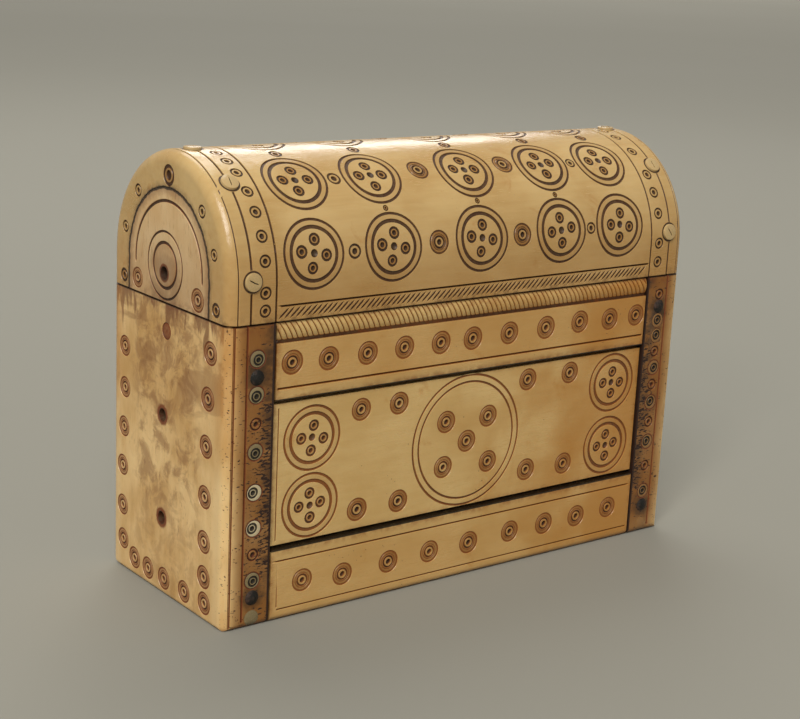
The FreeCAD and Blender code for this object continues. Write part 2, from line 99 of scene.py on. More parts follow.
filledFace, stampedFace = 1, 2        # what the sheet's faces are marked as while it is carved
mergeReach = 0.002                    # points nearer to each other than this become one
axisNormals = (Vector((1, 0, 0)), Vector((0, 1, 0)))


def addLayers(bm):
    bm.verts.layers.float.new("cut")
    bm.verts.layers.float.new("tone")
    bm.faces.layers.int.new("fill")
    return bm


def cutLayer(bm):
    return bm.verts.layers.float["cut"]


def fillLayer(bm):
    return bm.faces.layers.int["fill"]


def inkWhere(bm, test, amount=1.0):
    cut = cutLayer(bm)
    for vert in bm.verts:
        if test(vert.co):
            vert[cut] = amount


def facesWhere(bm, test):
    # test gets a face's middle and its normal
    return [f for f in bm.faces if test(f.calc_center_median(), f.normal)]


def turnRings(bm, rings, segments):
    cut, tone, fill = cutLayer(bm), bm.verts.layers.float["tone"], fillLayer(bm)
    chain = []
    for radius, depth, pigment, tan in rings:
        vert = bm.verts.new((radius, 0, -depth))
        vert[cut] = pigment
        vert[tone] = tan
        chain.append(vert)
    edges = [bm.edges.new(pair) for pair in zip(chain, chain[1:])]
    bmesh.ops.spin(bm, geom=chain + edges, cent=(0, 0, 0), axis=(0, 0, 1), dvec=(0, 0, 0),
                   angle=math.tau, steps=segments, use_merge=True, use_duplicate=False)
    bmesh.ops.remove_doubles(bm, verts=bm.verts, dist=mergeReach)
    for face in bm.faces:
        face[fill] = stampedFace


def keepMark(bm, name):
    bmesh.ops.recalc_face_normals(bm, faces=bm.faces)
    mesh = bpy.data.meshes.new(name)
    bm.to_mesh(mesh)
    bm.free()
    return mesh


def stamp(bm, mark, x, y, turn=0.0, size=1.0):
    # size is one number, or a length and a width
    length, width = size if isinstance(size, tuple) else (size, size)
    placed = mark.copy()
    placed.transform(Matrix.Translation((x, y, 0)) @ Matrix.Rotation(turn, 4, "Z") @
                     Matrix.Diagonal((length, width, 1, 1)))
    bm.from_mesh(placed)
    bpy.data.meshes.remove(placed)


def openEdges(bm, test=lambda edge: True):
    return [e for e in bm.edges if len(e.link_faces) < 2 and test(e)]


def fillFlat(bm, edges):
    fill = fillLayer(bm)
    made = bmesh.ops.triangle_fill(bm, use_beauty=True, use_dissolve=False, edges=edges, normal=(0, 0, 1))
    for item in made["geom"]:
        if isinstance(item, bmesh.types.BMFace):
            item[fill] = filledFace


def ringMark(name, rings, segments):
    bm = addLayers(bmesh.new())
    turnRings(bm, rings, segments)
    return keepMark(bm, name)


dots = {name: ringMark(name, mark["rings"], mark["segments"]) for name, mark in marks.items()}


# Circles that hold several dots
medallion = {"outer": 5.69, "outerWidth": 0.5, "inner": 4.4, "innerWidth": 0.68,
             "depth": 0.2, "between": 0.25,
             "segments": 44, "reach": 2.3}
roundel = {"outer": 12.0, "outerWidth": 0.46, "inner": 10.75, "innerWidth": 0.44,
           "depth": 0.2, "between": 0.0,
           "segments": 84, "dots": ((-4.8, 4.0), (4.8, 3.8), (0.1, -0.2), (-5.0, -4.3), (5.3, -4.8)),
           "dotSize": 0.97}
stroke = {"segments": 6, "rings": ((0.5, 0.0, 0.0, 0.0), (0.4, 0.14, 0.8, 0.0), (0.0, 0.22, 0.8, 0.0))}


def ringedField(circle, inner):
    bm = addLayers(bmesh.new())
    rings = grooveRings(circle["outer"], circle["outerWidth"], circle["depth"], inside=circle["between"],
                        pigment=0.8)
    rings += grooveRings(circle["inner"], circle["innerWidth"], circle["depth"], outside=circle["between"],
                         pigment=0.85)
    turnRings(bm, rings, circle["segments"])
    edge = circle["inner"] - circle["innerWidth"] / 2 + 0.1
    for name, x, y, size in inner:
        stamp(bm, dots[name], x, y, chance.uniform(0, 6), size)
    fillFlat(bm, openEdges(bm, lambda e: max(v.co.xy.length for v in e.verts) < edge))
    return keepMark(bm, "field")


def crossOfDots():
    reach = medallion["reach"]
    spots = [("centre", chance.uniform(-0.08, 0.08), chance.uniform(-0.1, 0.1), 1.0)]
    for quarter in range(4):
        angle = math.radians(90 * quarter + chance.uniform(-4, 4))
        far = reach + chance.uniform(-0.14, 0.14)
        spots.append(("small", far * math.cos(angle), far * math.sin(angle), chance.uniform(0.97, 1.05)))
    return spots


medallions = [ringedField(medallion, crossOfDots()) for _ in range(6)]
bigRoundel = ringedField(roundel, [("triple", x, y, roundel["dotSize"]) for x, y in roundel["dots"]])
hatchStroke = ringMark("stroke", stroke["rings"], stroke["segments"])
print("marks made")


# Working copies of the frame's meshes, in millimetres
def openCopy(node):
    bm = bmesh.new()
    bm.from_mesh(nodes[node].data)
    bmesh.ops.scale(bm, vec=(1000, 1000, 1000), verts=bm.verts)
    bmesh.ops.remove_doubles(bm, verts=bm.verts, dist=mergeReach)
    return addLayers(bm)


sharpFrom = math.radians(38)          # edges that turn by more than this look sharp


def makePiece(name, node, body, slot, look, carve, *inputs):
    bm = openCopy(node)
    carve(bm, *inputs)
    bmesh.ops.recalc_face_normals(bm, faces=bm.faces)
    bmesh.ops.triangulate(bm, faces=[f for f in bm.faces if len(f.verts) > 4])
    bmesh.ops.scale(bm, vec=(0.001, 0.001, 0.001), verts=bm.verts)
    mesh = bpy.data.meshes.new(name)
    bm.to_mesh(mesh)
    bm.free()
    if "custom_normal" in mesh.attributes:
        mesh.attributes.remove(mesh.attributes["custom_normal"])
    for polygon in mesh.polygons:
        polygon.use_smooth = True
    mesh.set_sharp_from_angle(angle=sharpFrom)
    mesh.materials.clear()
    mesh.materials.append(surfaces[look])
    piece = bpy.data.objects.new(name, mesh)
    bpy.context.scene.collection.objects.link(piece)
    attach(piece, body)
    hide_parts(node)


def wallRing(bm, edges, centre, steps):
    # carries a hole's edge outwards in steps of growth, depth and pigment; round the lid's pegs that pigment
    # is painted shade
    cut, fill = cutLayer(bm), fillLayer(bm)
    for vert in {v for e in edges for v in e.verts}:
        vert[cut] = 1.0
    for growth, depth, pigment in steps:
        made = bmesh.ops.extrude_edge_only(bm, edges=edges)["geom"]
        new = {g for g in made if isinstance(g, bmesh.types.BMVert)}
        edges = [g for g in made if isinstance(g, bmesh.types.BMEdge) and all(v in new for v in g.verts)]
        for face in made:
            if isinstance(face, bmesh.types.BMFace):
                face[fill] = stampedFace
        for vert in new:
            arm = vert.co.xy - centre
            out = centre + arm * (1 + growth / arm.length)
            vert.co = (out.x, out.y, -depth)
            vert[cut] = pigment


def flatFaces(bm):
    fill = fillLayer(bm)
    return [f for f in bm.faces if f[fill] == filledFace]


def cutAcross(bm, faces, point, normal):
    geom = list({v for f in faces for v in f.verts}) + list({e for f in faces for e in f.edges}) + faces
    made = bmesh.ops.bisect_plane(bm, geom=geom, dist=0.0008, plane_co=point, plane_no=normal)
    return [g for g in made["geom_cut"] if isinstance(g, bmesh.types.BMVert)]


# Cuts follow each other across a groove's section: share of the width, share of the depth, pigment
scribeCuts = ((-0.5, 0, 0), (0.5, 0, 0), (-0.3, 0.8, 0.75), (0.3, 0.8, 0.75), (0, 1, 0.75))
grooveCuts = ((-0.5, 0, 0), (-0.3, 0.8, 1), (0, 1, 1), (0.3, 0.8, 1), (0.5, 0, 0))
farAway = 60                          # faces further than this from a cut are left out of it


def scribe(bm, axis, place, width=0.36, depth=0.2, low=-unbounded, high=unbounded):
    # a straight cut across the fill, at one value of u (axis 0) or v (axis 1), from low to high of the other
    cut = cutLayer(bm)
    normal, across = axisNormals[axis], axisNormals[1 - axis]
    for bound in (low, high):
        if abs(bound) < unbounded:
            cutAcross(bm, flatFaces(bm), across * bound, across)
    for share, sink, pigment in scribeCuts:
        faces = [f for f in flatFaces(bm) if low < f.calc_center_median()[1 - axis] < high]
        faces = [f for f in faces if abs(f.calc_center_median()[axis] - place) < farAway]
        for vert in cutAcross(bm, faces, normal * (place + share * width), normal):
            along = vert.co[1 - axis]
            if sink and low + 0.01 < along < high - 0.01:
                vert.co.z -= depth * sink
                vert[cut] = pigment


def grooveAlong(path, width, depth):
    # a groove mark along points on the sheet, running out to nothing at both ends
    bm = addLayers(bmesh.new())
    cut, fill = cutLayer(bm), fillLayer(bm)
    rows = [[bm.verts.new((*path[0], 0))] * len(grooveCuts)]
    for before, point, after in zip(path, path[1:], path[2:]):
        ahead = (Vector(after) - Vector(before)).normalized()
        row = []
        for share, sink, pigment in grooveCuts:
            vert = bm.verts.new((point[0] - ahead.y * share * width, point[1] + ahead.x * share * width,
                                 -depth * sink))
            vert[cut] = pigment
            row.append(vert)
        rows.append(row)
    rows.append([bm.verts.new((*path[-1], 0))] * len(grooveCuts))
    for low, high in zip(rows, rows[1:]):
        for i in range(len(grooveCuts) - 1):
            corners = []
            for vert in (low[i], low[i + 1], high[i + 1], high[i]):
                if vert not in corners:
                    corners.append(vert)
            if len(corners) > 2:
                bm.faces.new(corners)[fill] = stampedFace
    return keepMark(bm, "groove")


def crack(start, end, width=0.13, depth=0.3, steps=5, sway=0.06):
    # a split between two places on the sheet, a little crooked
    start, end = Vector(start), Vector(end)
    across = Vector((start.y - end.y, end.x - start.x)).normalized()
    path = [start]
    for step in range(1, steps):
        path.append(start.lerp(end, step / steps) + across * chance.uniform(-sway, sway))
    return (grooveAlong([tuple(point) for point in path + [end]], width, depth), 0, 0, 0.0, 1.0)


def reface(bm, faces, lay, bend, stamps=(), scribes=(), holes=(), levels=()):
    bmesh.ops.delete(bm, geom=faces, context="FACES")
    rim = openEdges(bm)
    home = {v: v.co.copy() for e in rim for v in e.verts}
    for vert in home:
        vert.co = lay(vert.co)
    for x, y, radius, steps in holes:
        centre = Vector((x, y))
        loop = [e for e in rim if all(abs((v.co.xy - centre).length - radius) < 0.05 for v in e.verts)]
        wallRing(bm, loop, centre, steps)
    for mark, x, y, turn, size in stamps:
        stamp(bm, mark, x, y, turn, size)
    fillFlat(bm, openEdges(bm))
    for axis, level in levels:
        cutAcross(bm, flatFaces(bm), axisNormals[axis] * level, axisNormals[axis])
    for axis, place, shape in scribes:
        scribe(bm, axis, place, **shape)
    fill = fillLayer(bm)
    sheet = [f for f in bm.faces if f[fill]]
    for vert in {v for f in sheet for v in f.verts}:
        vert.co = home[vert] if vert in home and vert.co.z == 0 else bend(vert.co)
    for face in sheet:
        face[fill] = 0


def softenEdges(bm, test, width=0.16):
    bmesh.ops.dissolve_limit(bm, angle_limit=0.004, verts=bm.verts, edges=bm.edges)
    edges = [e for e in bm.edges if len(e.link_faces) == 2 and e.calc_face_angle(0) > 0.6 and test(e)]
    bmesh.ops.bevel(bm, geom=edges, offset=width, offset_type="OFFSET", segments=2, profile=0.5,
                    affect="EDGES", material=-1, clamp_overlap=True)
    bmesh.ops.remove_doubles(bm, verts=bm.verts, dist=mergeReach)


# Boards of the front and back. side is -1 for the front, 1 for the back, which carries the same ornament
def carveFace(bm, side, depth, stamps, lines, high=unbounded):
    # the board's flat outside, up to a height
    faces = facesWhere(bm, lambda middle, normal: abs(normal.y) > 0.999 and
                       abs(side * middle.y - depth) < 0.03 and middle.z < high)
    reface(bm, faces, lambda co: Vector((-side * co.x, co.z, 0)),
           lambda co: Vector((-side * co.x, side * (depth + co.z), co.y)), stamps, lines)


def fromEnd(x):                      # a place measured from the left end, as u on the sheet
    return x - casket["halfLength"]


def looseTriple(x, z, size=1.0):
    return (dots["triple"], fromEnd(x), z, chance.uniform(0, 6), size * chance.uniform(0.97, 1.03))


topRail = {
    "dots": (12.2, 19.4, 27.3, 35.0, 42.9, 50.0, 58.4, 67.1, 75.4, 83.0, 89.8), "dotHeight": 44.5,
    "hidden": (23.0, 29.5),               # how far from the middle the hinge leaves cover the back
    "line": 40.4, "lineShape": {"width": 0.46, "depth": 0.22}, "lineInset": 0.6, "softLow": 39,
    "quirkLow": 47.95, "beadLow": 48.4, "beadRound": 0.52,
    "gadroons": 82, "lean": -1.7, "cutWidth": 0.42, "cutDepth": 0.34, "cutPigment": 0.75,
}


def gadroon(bm, side):
    # slanting cuts across the bead, each one sunk along its middle
    cut, fill = cutLayer(bm), fillLayer(bm)
    out = casket["halfDepth"] - topRail["beadRound"]
    low, high = topRail["beadLow"], casket["baseTop"]
    for face in facesWhere(bm, lambda middle, normal: side * middle.y > out and low < middle.z < high and
                           abs(normal.x) < 0.5):
        face[fill] = filledFace
    reach = casket["flangeInner"] - 0.35
    pitch = 2 * (reach + 0.6) / topRail["gadroons"]
    lean = Vector((-side * topRail["lean"], 0, high - low))
    normal = Vector((lean.z, 0, -lean.x)).normalized()
    middleHeight = (low + high) / 2
    place = -reach - 0.6
    while place < reach + 1:
        for share in (-0.5, 0.5, 0):
            point = Vector((place + share * topRail["cutWidth"], 0, middleHeight))
            bead = [f for f in flatFaces(bm) if abs(f.calc_center_median().x - place) < farAway]
            for vert in cutAcross(bm, bead, point, normal):
                if share == 0 and abs(vert.co.x) < reach - 0.02:
                    rise = min(max((vert.co.z - low) / (high - low), 0), 1)
                    vert.co.y -= side * topRail["cutDepth"] * (0.35 + 0.65 * math.sin(math.pi * rise))
                    vert[cut] = topRail["cutPigment"]
        place += pitch * chance.uniform(0.93, 1.07)


def carveTopRail(bm, side):
    depth = casket["halfDepth"]
    # the long lower edge
    softenEdges(bm, lambda e: abs(e.verts[0].co.x - e.verts[1].co.x) > 10 and
                all(side * v.co.y > depth - 0.02 and v.co.z < topRail["softLow"] for v in e.verts))
    near, far = topRail["hidden"]
    places = [x for x in topRail["dots"] if side < 0 or not near < abs(fromEnd(x)) < far]
    stamps = [looseTriple(x, topRail["dotHeight"] + chance.uniform(-0.15, 0.15)) for x in places]
    end = casket["flangeInner"] - topRail["lineInset"]
    lines = [(1, topRail["line"], {"low": -end, "high": end, **topRail["lineShape"]})]
    carveFace(bm, side, depth, stamps, lines, topRail["quirkLow"])
    gadroon(bm, side)
    # the quirk under the bead is dark
    inkWhere(bm, lambda co: topRail["quirkLow"] - 0.01 < co.z < topRail["beadLow"] + 0.01 and
             depth - 1 < side * co.y < depth - 0.4)


bottomRail = {
    "dots": ((15.5, 6.3), (23.8, 5.7), (33.6, 6.0), (42.7, 6.1), (51.7, 6.1), (61.5, 6.4), (69.9, 6.4),
             (78.1, 6.4), (86.3, 6.7)),
    "upperLine": 10.6, "upperInset": 0.5,
    # on the front alone
    "lowerLine": 2.0, "lowerInsets": (1.6, 0.8), "lowerWidth": 0.3,
    "sideLine": (10.4, {"low": 2.4, "high": 10.2, "width": 0.26, "depth": 0.12}),
}


def carveBottomRail(bm, side):
    inner = casket["flangeInner"]
    stamps = [looseTriple(x, z, 0.98) for x, z in bottomRail["dots"]]
    end = inner - bottomRail["upperInset"]
    lines = [(1, bottomRail["upperLine"], {"low": -end, "high": end})]
    if side < 0:
        left, right = bottomRail["lowerInsets"]
        lines.append((1, bottomRail["lowerLine"], {"low": left - inner, "high": inner - right,
                                                   "width": bottomRail["lowerWidth"]}))
        place, shape = bottomRail["sideLine"]
        lines.append((0, fromEnd(place), shape))
    carveFace(bm, side, casket["halfDepth"], stamps, lines)


middlePanel = {
    "recess": 0.5,
    "medallions": ((16.9, 31.0), (16.9, 19.25), (85.2, 31.7), (84.9, 19.4)), "medallionSize": 0.97,
    "dots": ((26.8, 34.5), (34.8, 34.5), (26.7, 16.7), (35.5, 16.7), (64.0, 35.0), (74.3, 35.0), (64.9, 17.7),
             (74.2, 17.4)),
    "roundel": (50.2, 25.6),
    "sideLine": (10.15, {"low": 14, "high": 37, "width": 0.26, "depth": 0.12}),
}


def carveMiddlePanel(bm, side):
    stamps = [looseTriple(x, z, 0.98) for x, z in middlePanel["dots"]]
    for x, z in middlePanel["medallions"]:
        stamps.append((chance.choice(medallions), fromEnd(x), z, chance.uniform(-0.15, 0.15),
                       middlePanel["medallionSize"]))
    x, z = middlePanel["roundel"]
    stamps.append((bigRoundel, fromEnd(x), z, 0.0, 1.0))
    place, shape = middlePanel["sideLine"]
    carveFace(bm, side, casket["halfDepth"] - middlePanel["recess"], stamps, [(0, fromEnd(place), shape)])


# End blocks: one sheet runs round the front flange, the corner, the end face and the back flange
endBlock = {
    # ring-and-dots of the end face: their size, then the distance from the front and the height of each
    "near": (0.98, ((5.4, 46.2), (6.0, 38.5), (6.3, 30.4), (6.5, 21.7), (6.5, 13.9), (6.4, 7.75),
                    (6.1, 3.2))),
    "far": (0.9, ((33.8, 41.1), (33.7, 33.7), (34.0, 26.5), (34.4, 19.3), (34.35, 11.9), (34.1, 5.6))),
    "low": (0.94, ((29.9, 3.3), (25.1, 3.0), (19.55, 2.95), (12.7, 2.95))),
    "plug": (19.5, 46.8),
    "holeHeights": (13.8, 32.1), "holeShift": 1.2, "holeRadius": 1.1,
    "holeRim": ((0.2, 0.0, 0.8), (0.5, 0.0, 0.4), (0.7, 0.0, 0.0)),
    # the flanges: heights on the left block, then on the right one
    "ringSize": 0.86, "rings": {-1: (35.1, 12.75), 1: (47.9, 36.7, 30.1, 22.6, 13.7)},
    "lines": (1.25, 3.6), "lineShape": {"width": 0.5, "depth": 0.18},
    "pegInset": 5.5, "pegRadius": 1.37, "crowding": 3.6,
    "pegs": {-1: (8.26, 17.33, 23.49, 30.43, 39.96, 45.94), 1: (8.51, 18.61, 26.58, 33.52, 39.83, 42.82)},
    "pegRim": ((0.05, 0.04, 1.0), (0.06, 0.0, 0.8), (0.27, 0.0, 0.0)),
    "crowdedRim": ((0.05, 0.04, 1.0), (0.06, 0.0, 0.0)),
    "nailRadius": 0.62, "nails": {-1: (5.21, 42.82), 1: (5.59, 45.55)},
    "nailRim": ((0.15, 0.0, 1.0), (0.15, 0.0, 0.0)),
    "turnStep": 9,                        # the corner is bent in steps of this many degrees
}


def endLay(side):
    # u runs from the front flange's inner edge round to the back's, v is the height
    radius = casket["cornerRadius"]
    length = casket["halfLength"]
    depth = casket["halfDepth"]
    quarter = radius * math.pi / 2
    flat = depth - radius

    def lay(co):
        x = length - abs(co.x)           # distance in from the end plane
        y = co.y
        if abs(y) > flat + 1e-4 and x > radius - 1e-4:
            u = flat + quarter + (x - radius)
        elif abs(y) > flat + 1e-4:
            u = flat + radius * math.atan2(abs(y) - flat, radius - x)
        else:
            u = abs(y)
        return Vector((math.copysign(u, y) * -side, co.z, 0))

    def bend(flatCo):
        u = flatCo.x * -side
        w = flatCo.z
        x, y = -w, abs(u)
        if abs(u) > flat + quarter:
            x, y = radius + abs(u) - flat - quarter, depth + w
        elif abs(u) > flat:
            angle = (abs(u) - flat) / radius
            x, y = radius - (radius + w) * math.cos(angle), flat + (radius + w) * math.sin(angle)
        return Vector((side * (length - x), math.copysign(y, u), flatCo.y))

    return lay, bend


def endSpots():
    # ring-and-dots of the end face, as mark, u, v, size
    spots = []
    depth = casket["halfDepth"]
    for key in ("near", "far", "low"):
        size, places = endBlock[key]
        for y, z in places:
            spots.append(("triple", y - depth, z, size * chance.uniform(0.97, 1.02)))
    y, z = endBlock["plug"]
    return spots + [("plug", y - depth, z, 1.0)]


def onEndSheet(middle, normal, side):
    # the end face, the rounded corners and the flanges' outsides
    radius = casket["cornerRadius"]
    length, depth = casket["halfLength"] - 0.01, casket["halfDepth"] - 0.01
    x, y = abs(middle.x), abs(middle.y)
    outside = x > length or y > depth or (x > length - radius and y > depth - radius)
    outward = y < depth - radius + 0.02 or middle.y * normal.y > 0 or abs(normal.y) < 0.01
    return outside and outward and abs(normal.z) < 1e-3 and normal.x * side + abs(normal.y) > 0.3


def carveEndBlock(bm, side):
    radius = casket["cornerRadius"]
    flat = casket["halfDepth"] - radius
    around = flat + radius * (math.pi / 2 - 1)
    column = around + endBlock["pegInset"]     # where the flanges' pegs, nails and rings stand on the sheet
    faces = facesWhere(bm, lambda middle, normal: onEndSheet(middle, normal, side))
    spots = endSpots()
    for front in (-1, 1):
        spots += [("double", front * column, z, endBlock["ringSize"]) for z in endBlock["rings"][side]]
    stamps = [(dots[mark], u * -side, v, chance.uniform(0, 6), size) for mark, u, v, size in spots]
    holes = [(endBlock["holeShift"] * -side, z, endBlock["holeRadius"], endBlock["holeRim"])
             for z in endBlock["holeHeights"]]
    lines = []
    heights = endBlock["pegs"][side]
    for way in (side, -side):
        for z in heights:
            crowded = any(0 < abs(z - other) < endBlock["crowding"] for other in heights)
            rim = endBlock["crowdedRim" if crowded else "pegRim"]
            holes.append((way * column, z, endBlock["pegRadius"], rim))
        for z in endBlock["nails"][side]:
            holes.append((way * column, z, endBlock["nailRadius"], endBlock["nailRim"]))
        for x in endBlock["lines"]:
            u = around + x if x > radius else flat + radius * math.acos((radius - x) / radius)
            lines.append((0, way * u, endBlock["lineShape"]))
    levels = [(0, end * (flat + radius * math.radians(turn)))
              for end in (-1, 1) for turn in range(0, 91, endBlock["turnStep"])]
    reface(bm, faces, *endLay(side), stamps, lines, holes, levels)
    inside = casket["halfLength"] - 0.2
    bore = endBlock["holeRadius"] + 0.05
    inkWhere(bm, lambda co: abs(co.x) < inside and
             any(math.hypot(co.y - endBlock["holeShift"], co.z - z) < bore for z in endBlock["holeHeights"]))


# Lid: the barrel's outside as one sheet, u along the length and v up over the arch from the front seam
barrel = {
    "endRadius": 2.2, "endLine": 1.7, "endLineWidth": 0.54, "endLineDepth": 0.18,
    "innerLine": (4.1, {"width": 0.5, "depth": 0.2}), "fieldLine": (8.8, {"width": 0.5, "depth": 0.22}),
    # the hatched band over the seam: its line, then its strokes
    "hatchTop": 2.7, "hatchShift": 0.25, "hatchInset": 0.3, "hatchWidth": 0.42,
    "strokes": 78, "strokeLean": 2.3, "strokeWidth": 0.48, "strokeLow": 0.24, "strokeMargin": 0.66,
    # medallions row by row: the height on the sheet, then the places from the left end
    "rows": ((10.4, (16.1, 32.1, 51.2, 69.7, 84.2)), (23.6, (16.6, 31.8, 52.0, 69.9, 84.2)),
             (38.7, (16.8, 33.0, 52.4, 70.6, 84.4)), (52.2, (16.4, 32.3, 50.8, 69.6, 84.5))),
    "between": (("double", 24.1, 10.2, 0.98), ("triple", 41.7, 10.4, 0.98), ("triple", 60.4, 10.3, 0.98),
                ("double", 76.95, 10.3, 0.84), ("double", 24.2, 23.4, 0.98), ("triple", 42.1, 24.2, 0.98),
                ("triple", 61.2, 24.3, 0.98), ("double", 77.05, 23.5, 0.8), ("small", 31.9, 17.0, 0.5),
                ("small", 51.7, 17.0, 0.5), ("small", 69.8, 17.0, 0.5), ("small", 17.0, 31.1, 1.1),
                ("small", 32.8, 31.2, 1.1), ("small", 52.7, 31.2, 1.1), ("small", 70.9, 31.2, 1.1),
                ("small", 85.6, 31.1, 1.1), ("double", 24.9, 38.6, 0.98), ("triple", 42.8, 38.5, 0.98),
                ("triple", 61.5, 38.6, 0.98), ("small", 77.5, 38.7, 0.75), ("double", 24.4, 52.0, 0.9),
                ("triple", 41.6, 52.3, 0.98), ("triple", 60.2, 52.1, 0.98), ("small", 77.05, 52.2, 1.1),
                ("triple", 14.6, 64.4, 0.98), ("triple", 34.9, 64.2, 0.98), ("triple", 43.2, 64.5, 0.98),
                ("triple", 51.4, 64.3, 0.98), ("triple", 59.3, 64.4, 0.98), ("triple", 67.0, 64.1, 0.98),
                ("triple", 86.3, 64.3, 0.98)),
    "leftBorder": (2.2, 5.1, 10.2, 14.2, 18.3, 22.15, 26.4, 29.7, 33.1),
    "rightBorder": (2.9, 6.45, 12.1, 16.2, 19.95, 25.8, 30.9, 34.55),
    "borderInset": 6.75, "borderSize": 0.84, "borderShift": 0.25,
    # pegs as degrees over the arch, from the front
    "leftPegs": (2.5, 53.0, 90.0, 127.0, 177.5), "rightPegs": (6.5, 46.5, 90.0, 133.5, 173.5),
    # pegRim's dark ring round each peg is painted shade, the shadow halo in the crevice round it
    "pegInset": 4.3, "pegRadius": 1.52, "pegRim": ((0.08, 0.03, 1.0), (0.18, 0.0, 0.9), (0.1, 0.0, 0.0)),
}
upright = casket["spring"] - casket["lidBottom"]      # the barrel's straight part, under its arch
sheetHeight = 2 * upright + casket["halfDepth"] * math.pi


def fromArch(point):
    # the way out from the arch's middle line, as long as the distance from it
    return Vector((0, point.y, max(point.z - casket["spring"], 0)))


def facesOut(normal, middle, least):
    return normal.dot(fromArch(middle).normalized()) > least


def archBend(co):
    radius = casket["halfDepth"]
    u, v, w = co
    if v <= upright:
        return Vector((u, -radius - w, casket["lidBottom"] + v))
    if v >= sheetHeight - upright:
        return Vector((u, radius + w, casket["lidBottom"] + sheetHeight - v))
    angle = (v - upright) / radius
    return Vector((u, -(radius + w) * math.cos(angle), casket["spring"] + (radius + w) * math.sin(angle)))


def archLay(co):
    rise = co.z - casket["lidBottom"]
    if co.z > casket["spring"]:
        rise = upright + casket["halfDepth"] * math.atan2(co.z - casket["spring"], -co.y)
    elif co.y >= 0:
        rise = sheetHeight - rise
    return Vector((co.x, rise, 0))


def barrelStamps(field, pitch):
    stamps = []
    for v, places in barrel["rows"]:
        for x in places:
            stamps.append((chance.choice(medallions), fromEnd(x), v + chance.uniform(-0.05, 0.05),
                           chance.uniform(-0.2, 0.2), chance.uniform(0.99, 1.01)))
    for mark, x, v, size in barrel["between"]:
        stamps.append((dots[mark], fromEnd(x), v, chance.uniform(0, 6), size))
    inset = casket["halfLength"] - barrel["borderInset"]
    shift = barrel["borderShift"]
    for key, side in (("leftBorder", -1), ("rightBorder", 1)):
        for v in barrel[key]:
            for place in {v - shift, sheetHeight - v + shift}:
                stamps.append((dots["double"], side * inset, place, chance.uniform(0, 6),
                               barrel["borderSize"]))
    height = barrel["hatchTop"] - barrel["strokeMargin"]
    length = math.hypot(barrel["strokeLean"], height)
    turn = math.atan2(height, barrel["strokeLean"])
    middle = barrel["strokeLow"] + height / 2
    for row in (middle, sheetHeight - middle):
        place = pitch * 1.4 - field
        while place < field - pitch * 1.4:
            stamps.append((hatchStroke, place, row, turn + chance.uniform(-0.03, 0.03),
                           (length * chance.uniform(0.96, 1.0), barrel["strokeWidth"])))
            place += pitch * chance.uniform(0.92, 1.08)
    return stamps


def lineRound(bm, side, reach):
    # a line over the arch, cut into the rounded end
    cut = cutLayer(bm)
    place = side * (casket["halfLength"] - barrel["endLine"])
    inner = casket["halfDepth"] - barrel["endRadius"] - 0.1
    rim = facesWhere(bm, lambda middle, normal: side * middle.x > reach - 0.01 and
                     fromArch(middle).length > inner and facesOut(normal, middle, 0.2))
    for share in (-0.5, 0.5, 0):
        rim = [f for f in rim if f.is_valid]
        before = set(bm.faces)
        found = cutAcross(bm, rim, Vector((place + share * barrel["endLineWidth"], 0, 0)), axisNormals[0])
        rim += [f for f in bm.faces if f not in before]
        if share == 0:
            for vert in found:
                vert.co -= fromArch(vert.co).normalized() * barrel["endLineDepth"]
                vert[cut] = 1.0


def carveBarrel(bm):
    length = casket["halfLength"]
    reach = length - barrel["endRadius"]
    faces = facesWhere(bm, lambda middle, normal: fromArch(middle).length > casket["halfDepth"] - 0.06 and
                       abs(middle.x) < reach and middle.z > casket["lidBottom"] + 0.01 and
                       facesOut(normal, middle, 0.8))
    inset, fieldShape = barrel["fieldLine"]
    field = length - inset
    stamps = barrelStamps(field, 2 * field / barrel["strokes"])
    holes = []
    for side, key in ((-1, "leftPegs"), (1, "rightPegs")):
        for angle in barrel[key]:
            v = upright + casket["halfDepth"] * math.radians(angle)
            holes.append((side * (length - barrel["pegInset"]), v, barrel["pegRadius"], barrel["pegRim"]))
    lines = []
    inset, innerShape = barrel["innerLine"]
    for side in (-1, 1):
        lines += [(0, side * (length - inset), innerShape), (0, side * field, fieldShape)]
    end = field - barrel["hatchInset"]
    top = barrel["hatchTop"] - barrel["hatchShift"]
    hatchShape = {"low": -end, "high": end, "width": barrel["hatchWidth"]}
    lines += [(1, v, hatchShape) for v in (top, sheetHeight - top)]
    # the sheet is cut where the arch's own facets meet
    heights = sorted({round(archLay(v.co).y, 3) for f in faces for v in f.verts
                      if abs(abs(v.co.x) - reach) < 0.01})
    levels = [(1, v) for v in heights if 0.1 < v < sheetHeight - 0.1]
    reface(bm, faces, archLay, archBend, stamps, lines, holes, levels)
    for side in (-1, 1):
        lineRound(bm, side, reach)


# Ends of the lid: the barrel's flat rim and the plug let into it. side is -1 for the left, 1 for the right
lidEnd = {
    # how far from the arch's middle line the two flat faces lie
    "rimReach": (13.0, 18.0), "plugReach": (0.0, 14.0),
    "rim": (("eye", 0.1, 15.15, 1.06), ("double", -10.5, 10.9, 0.86), ("double", 10.2, 11.2, 0.86),
            ("small", -15.3, -4.1, 1.15), ("small", 14.9, -4.1, 1.15), ("double", -14.4, 4.6, 0.8),
            ("double", 14.5, 4.4, 0.8)),
    "archRadius": 10.9, "archFoot": -1.2, "archWidth": 0.62, "archDepth": 0.24, "archSteps": 36,
    "rings": (1.0, 57.75), "hole": (1.2, 56.45), "holeRadius": 1.1,
    "holeRim": ((0.22, 0.0, 0.8), (0.5, 0.0, 0.0)),
    "dots": (("triple", -9.6, 54.0, 0.95), ("triple", 10.2, 54.0, 0.84)),
    "cracks": (((-7.4, 59.6), (-7.1, 64.4)), ((8.6, 57.4), (8.2, 62.6)), ((0.6, 64.1), (0.8, 67.2)),
               ((-6.4, 52.6), (-6.2, 56.4))),
}
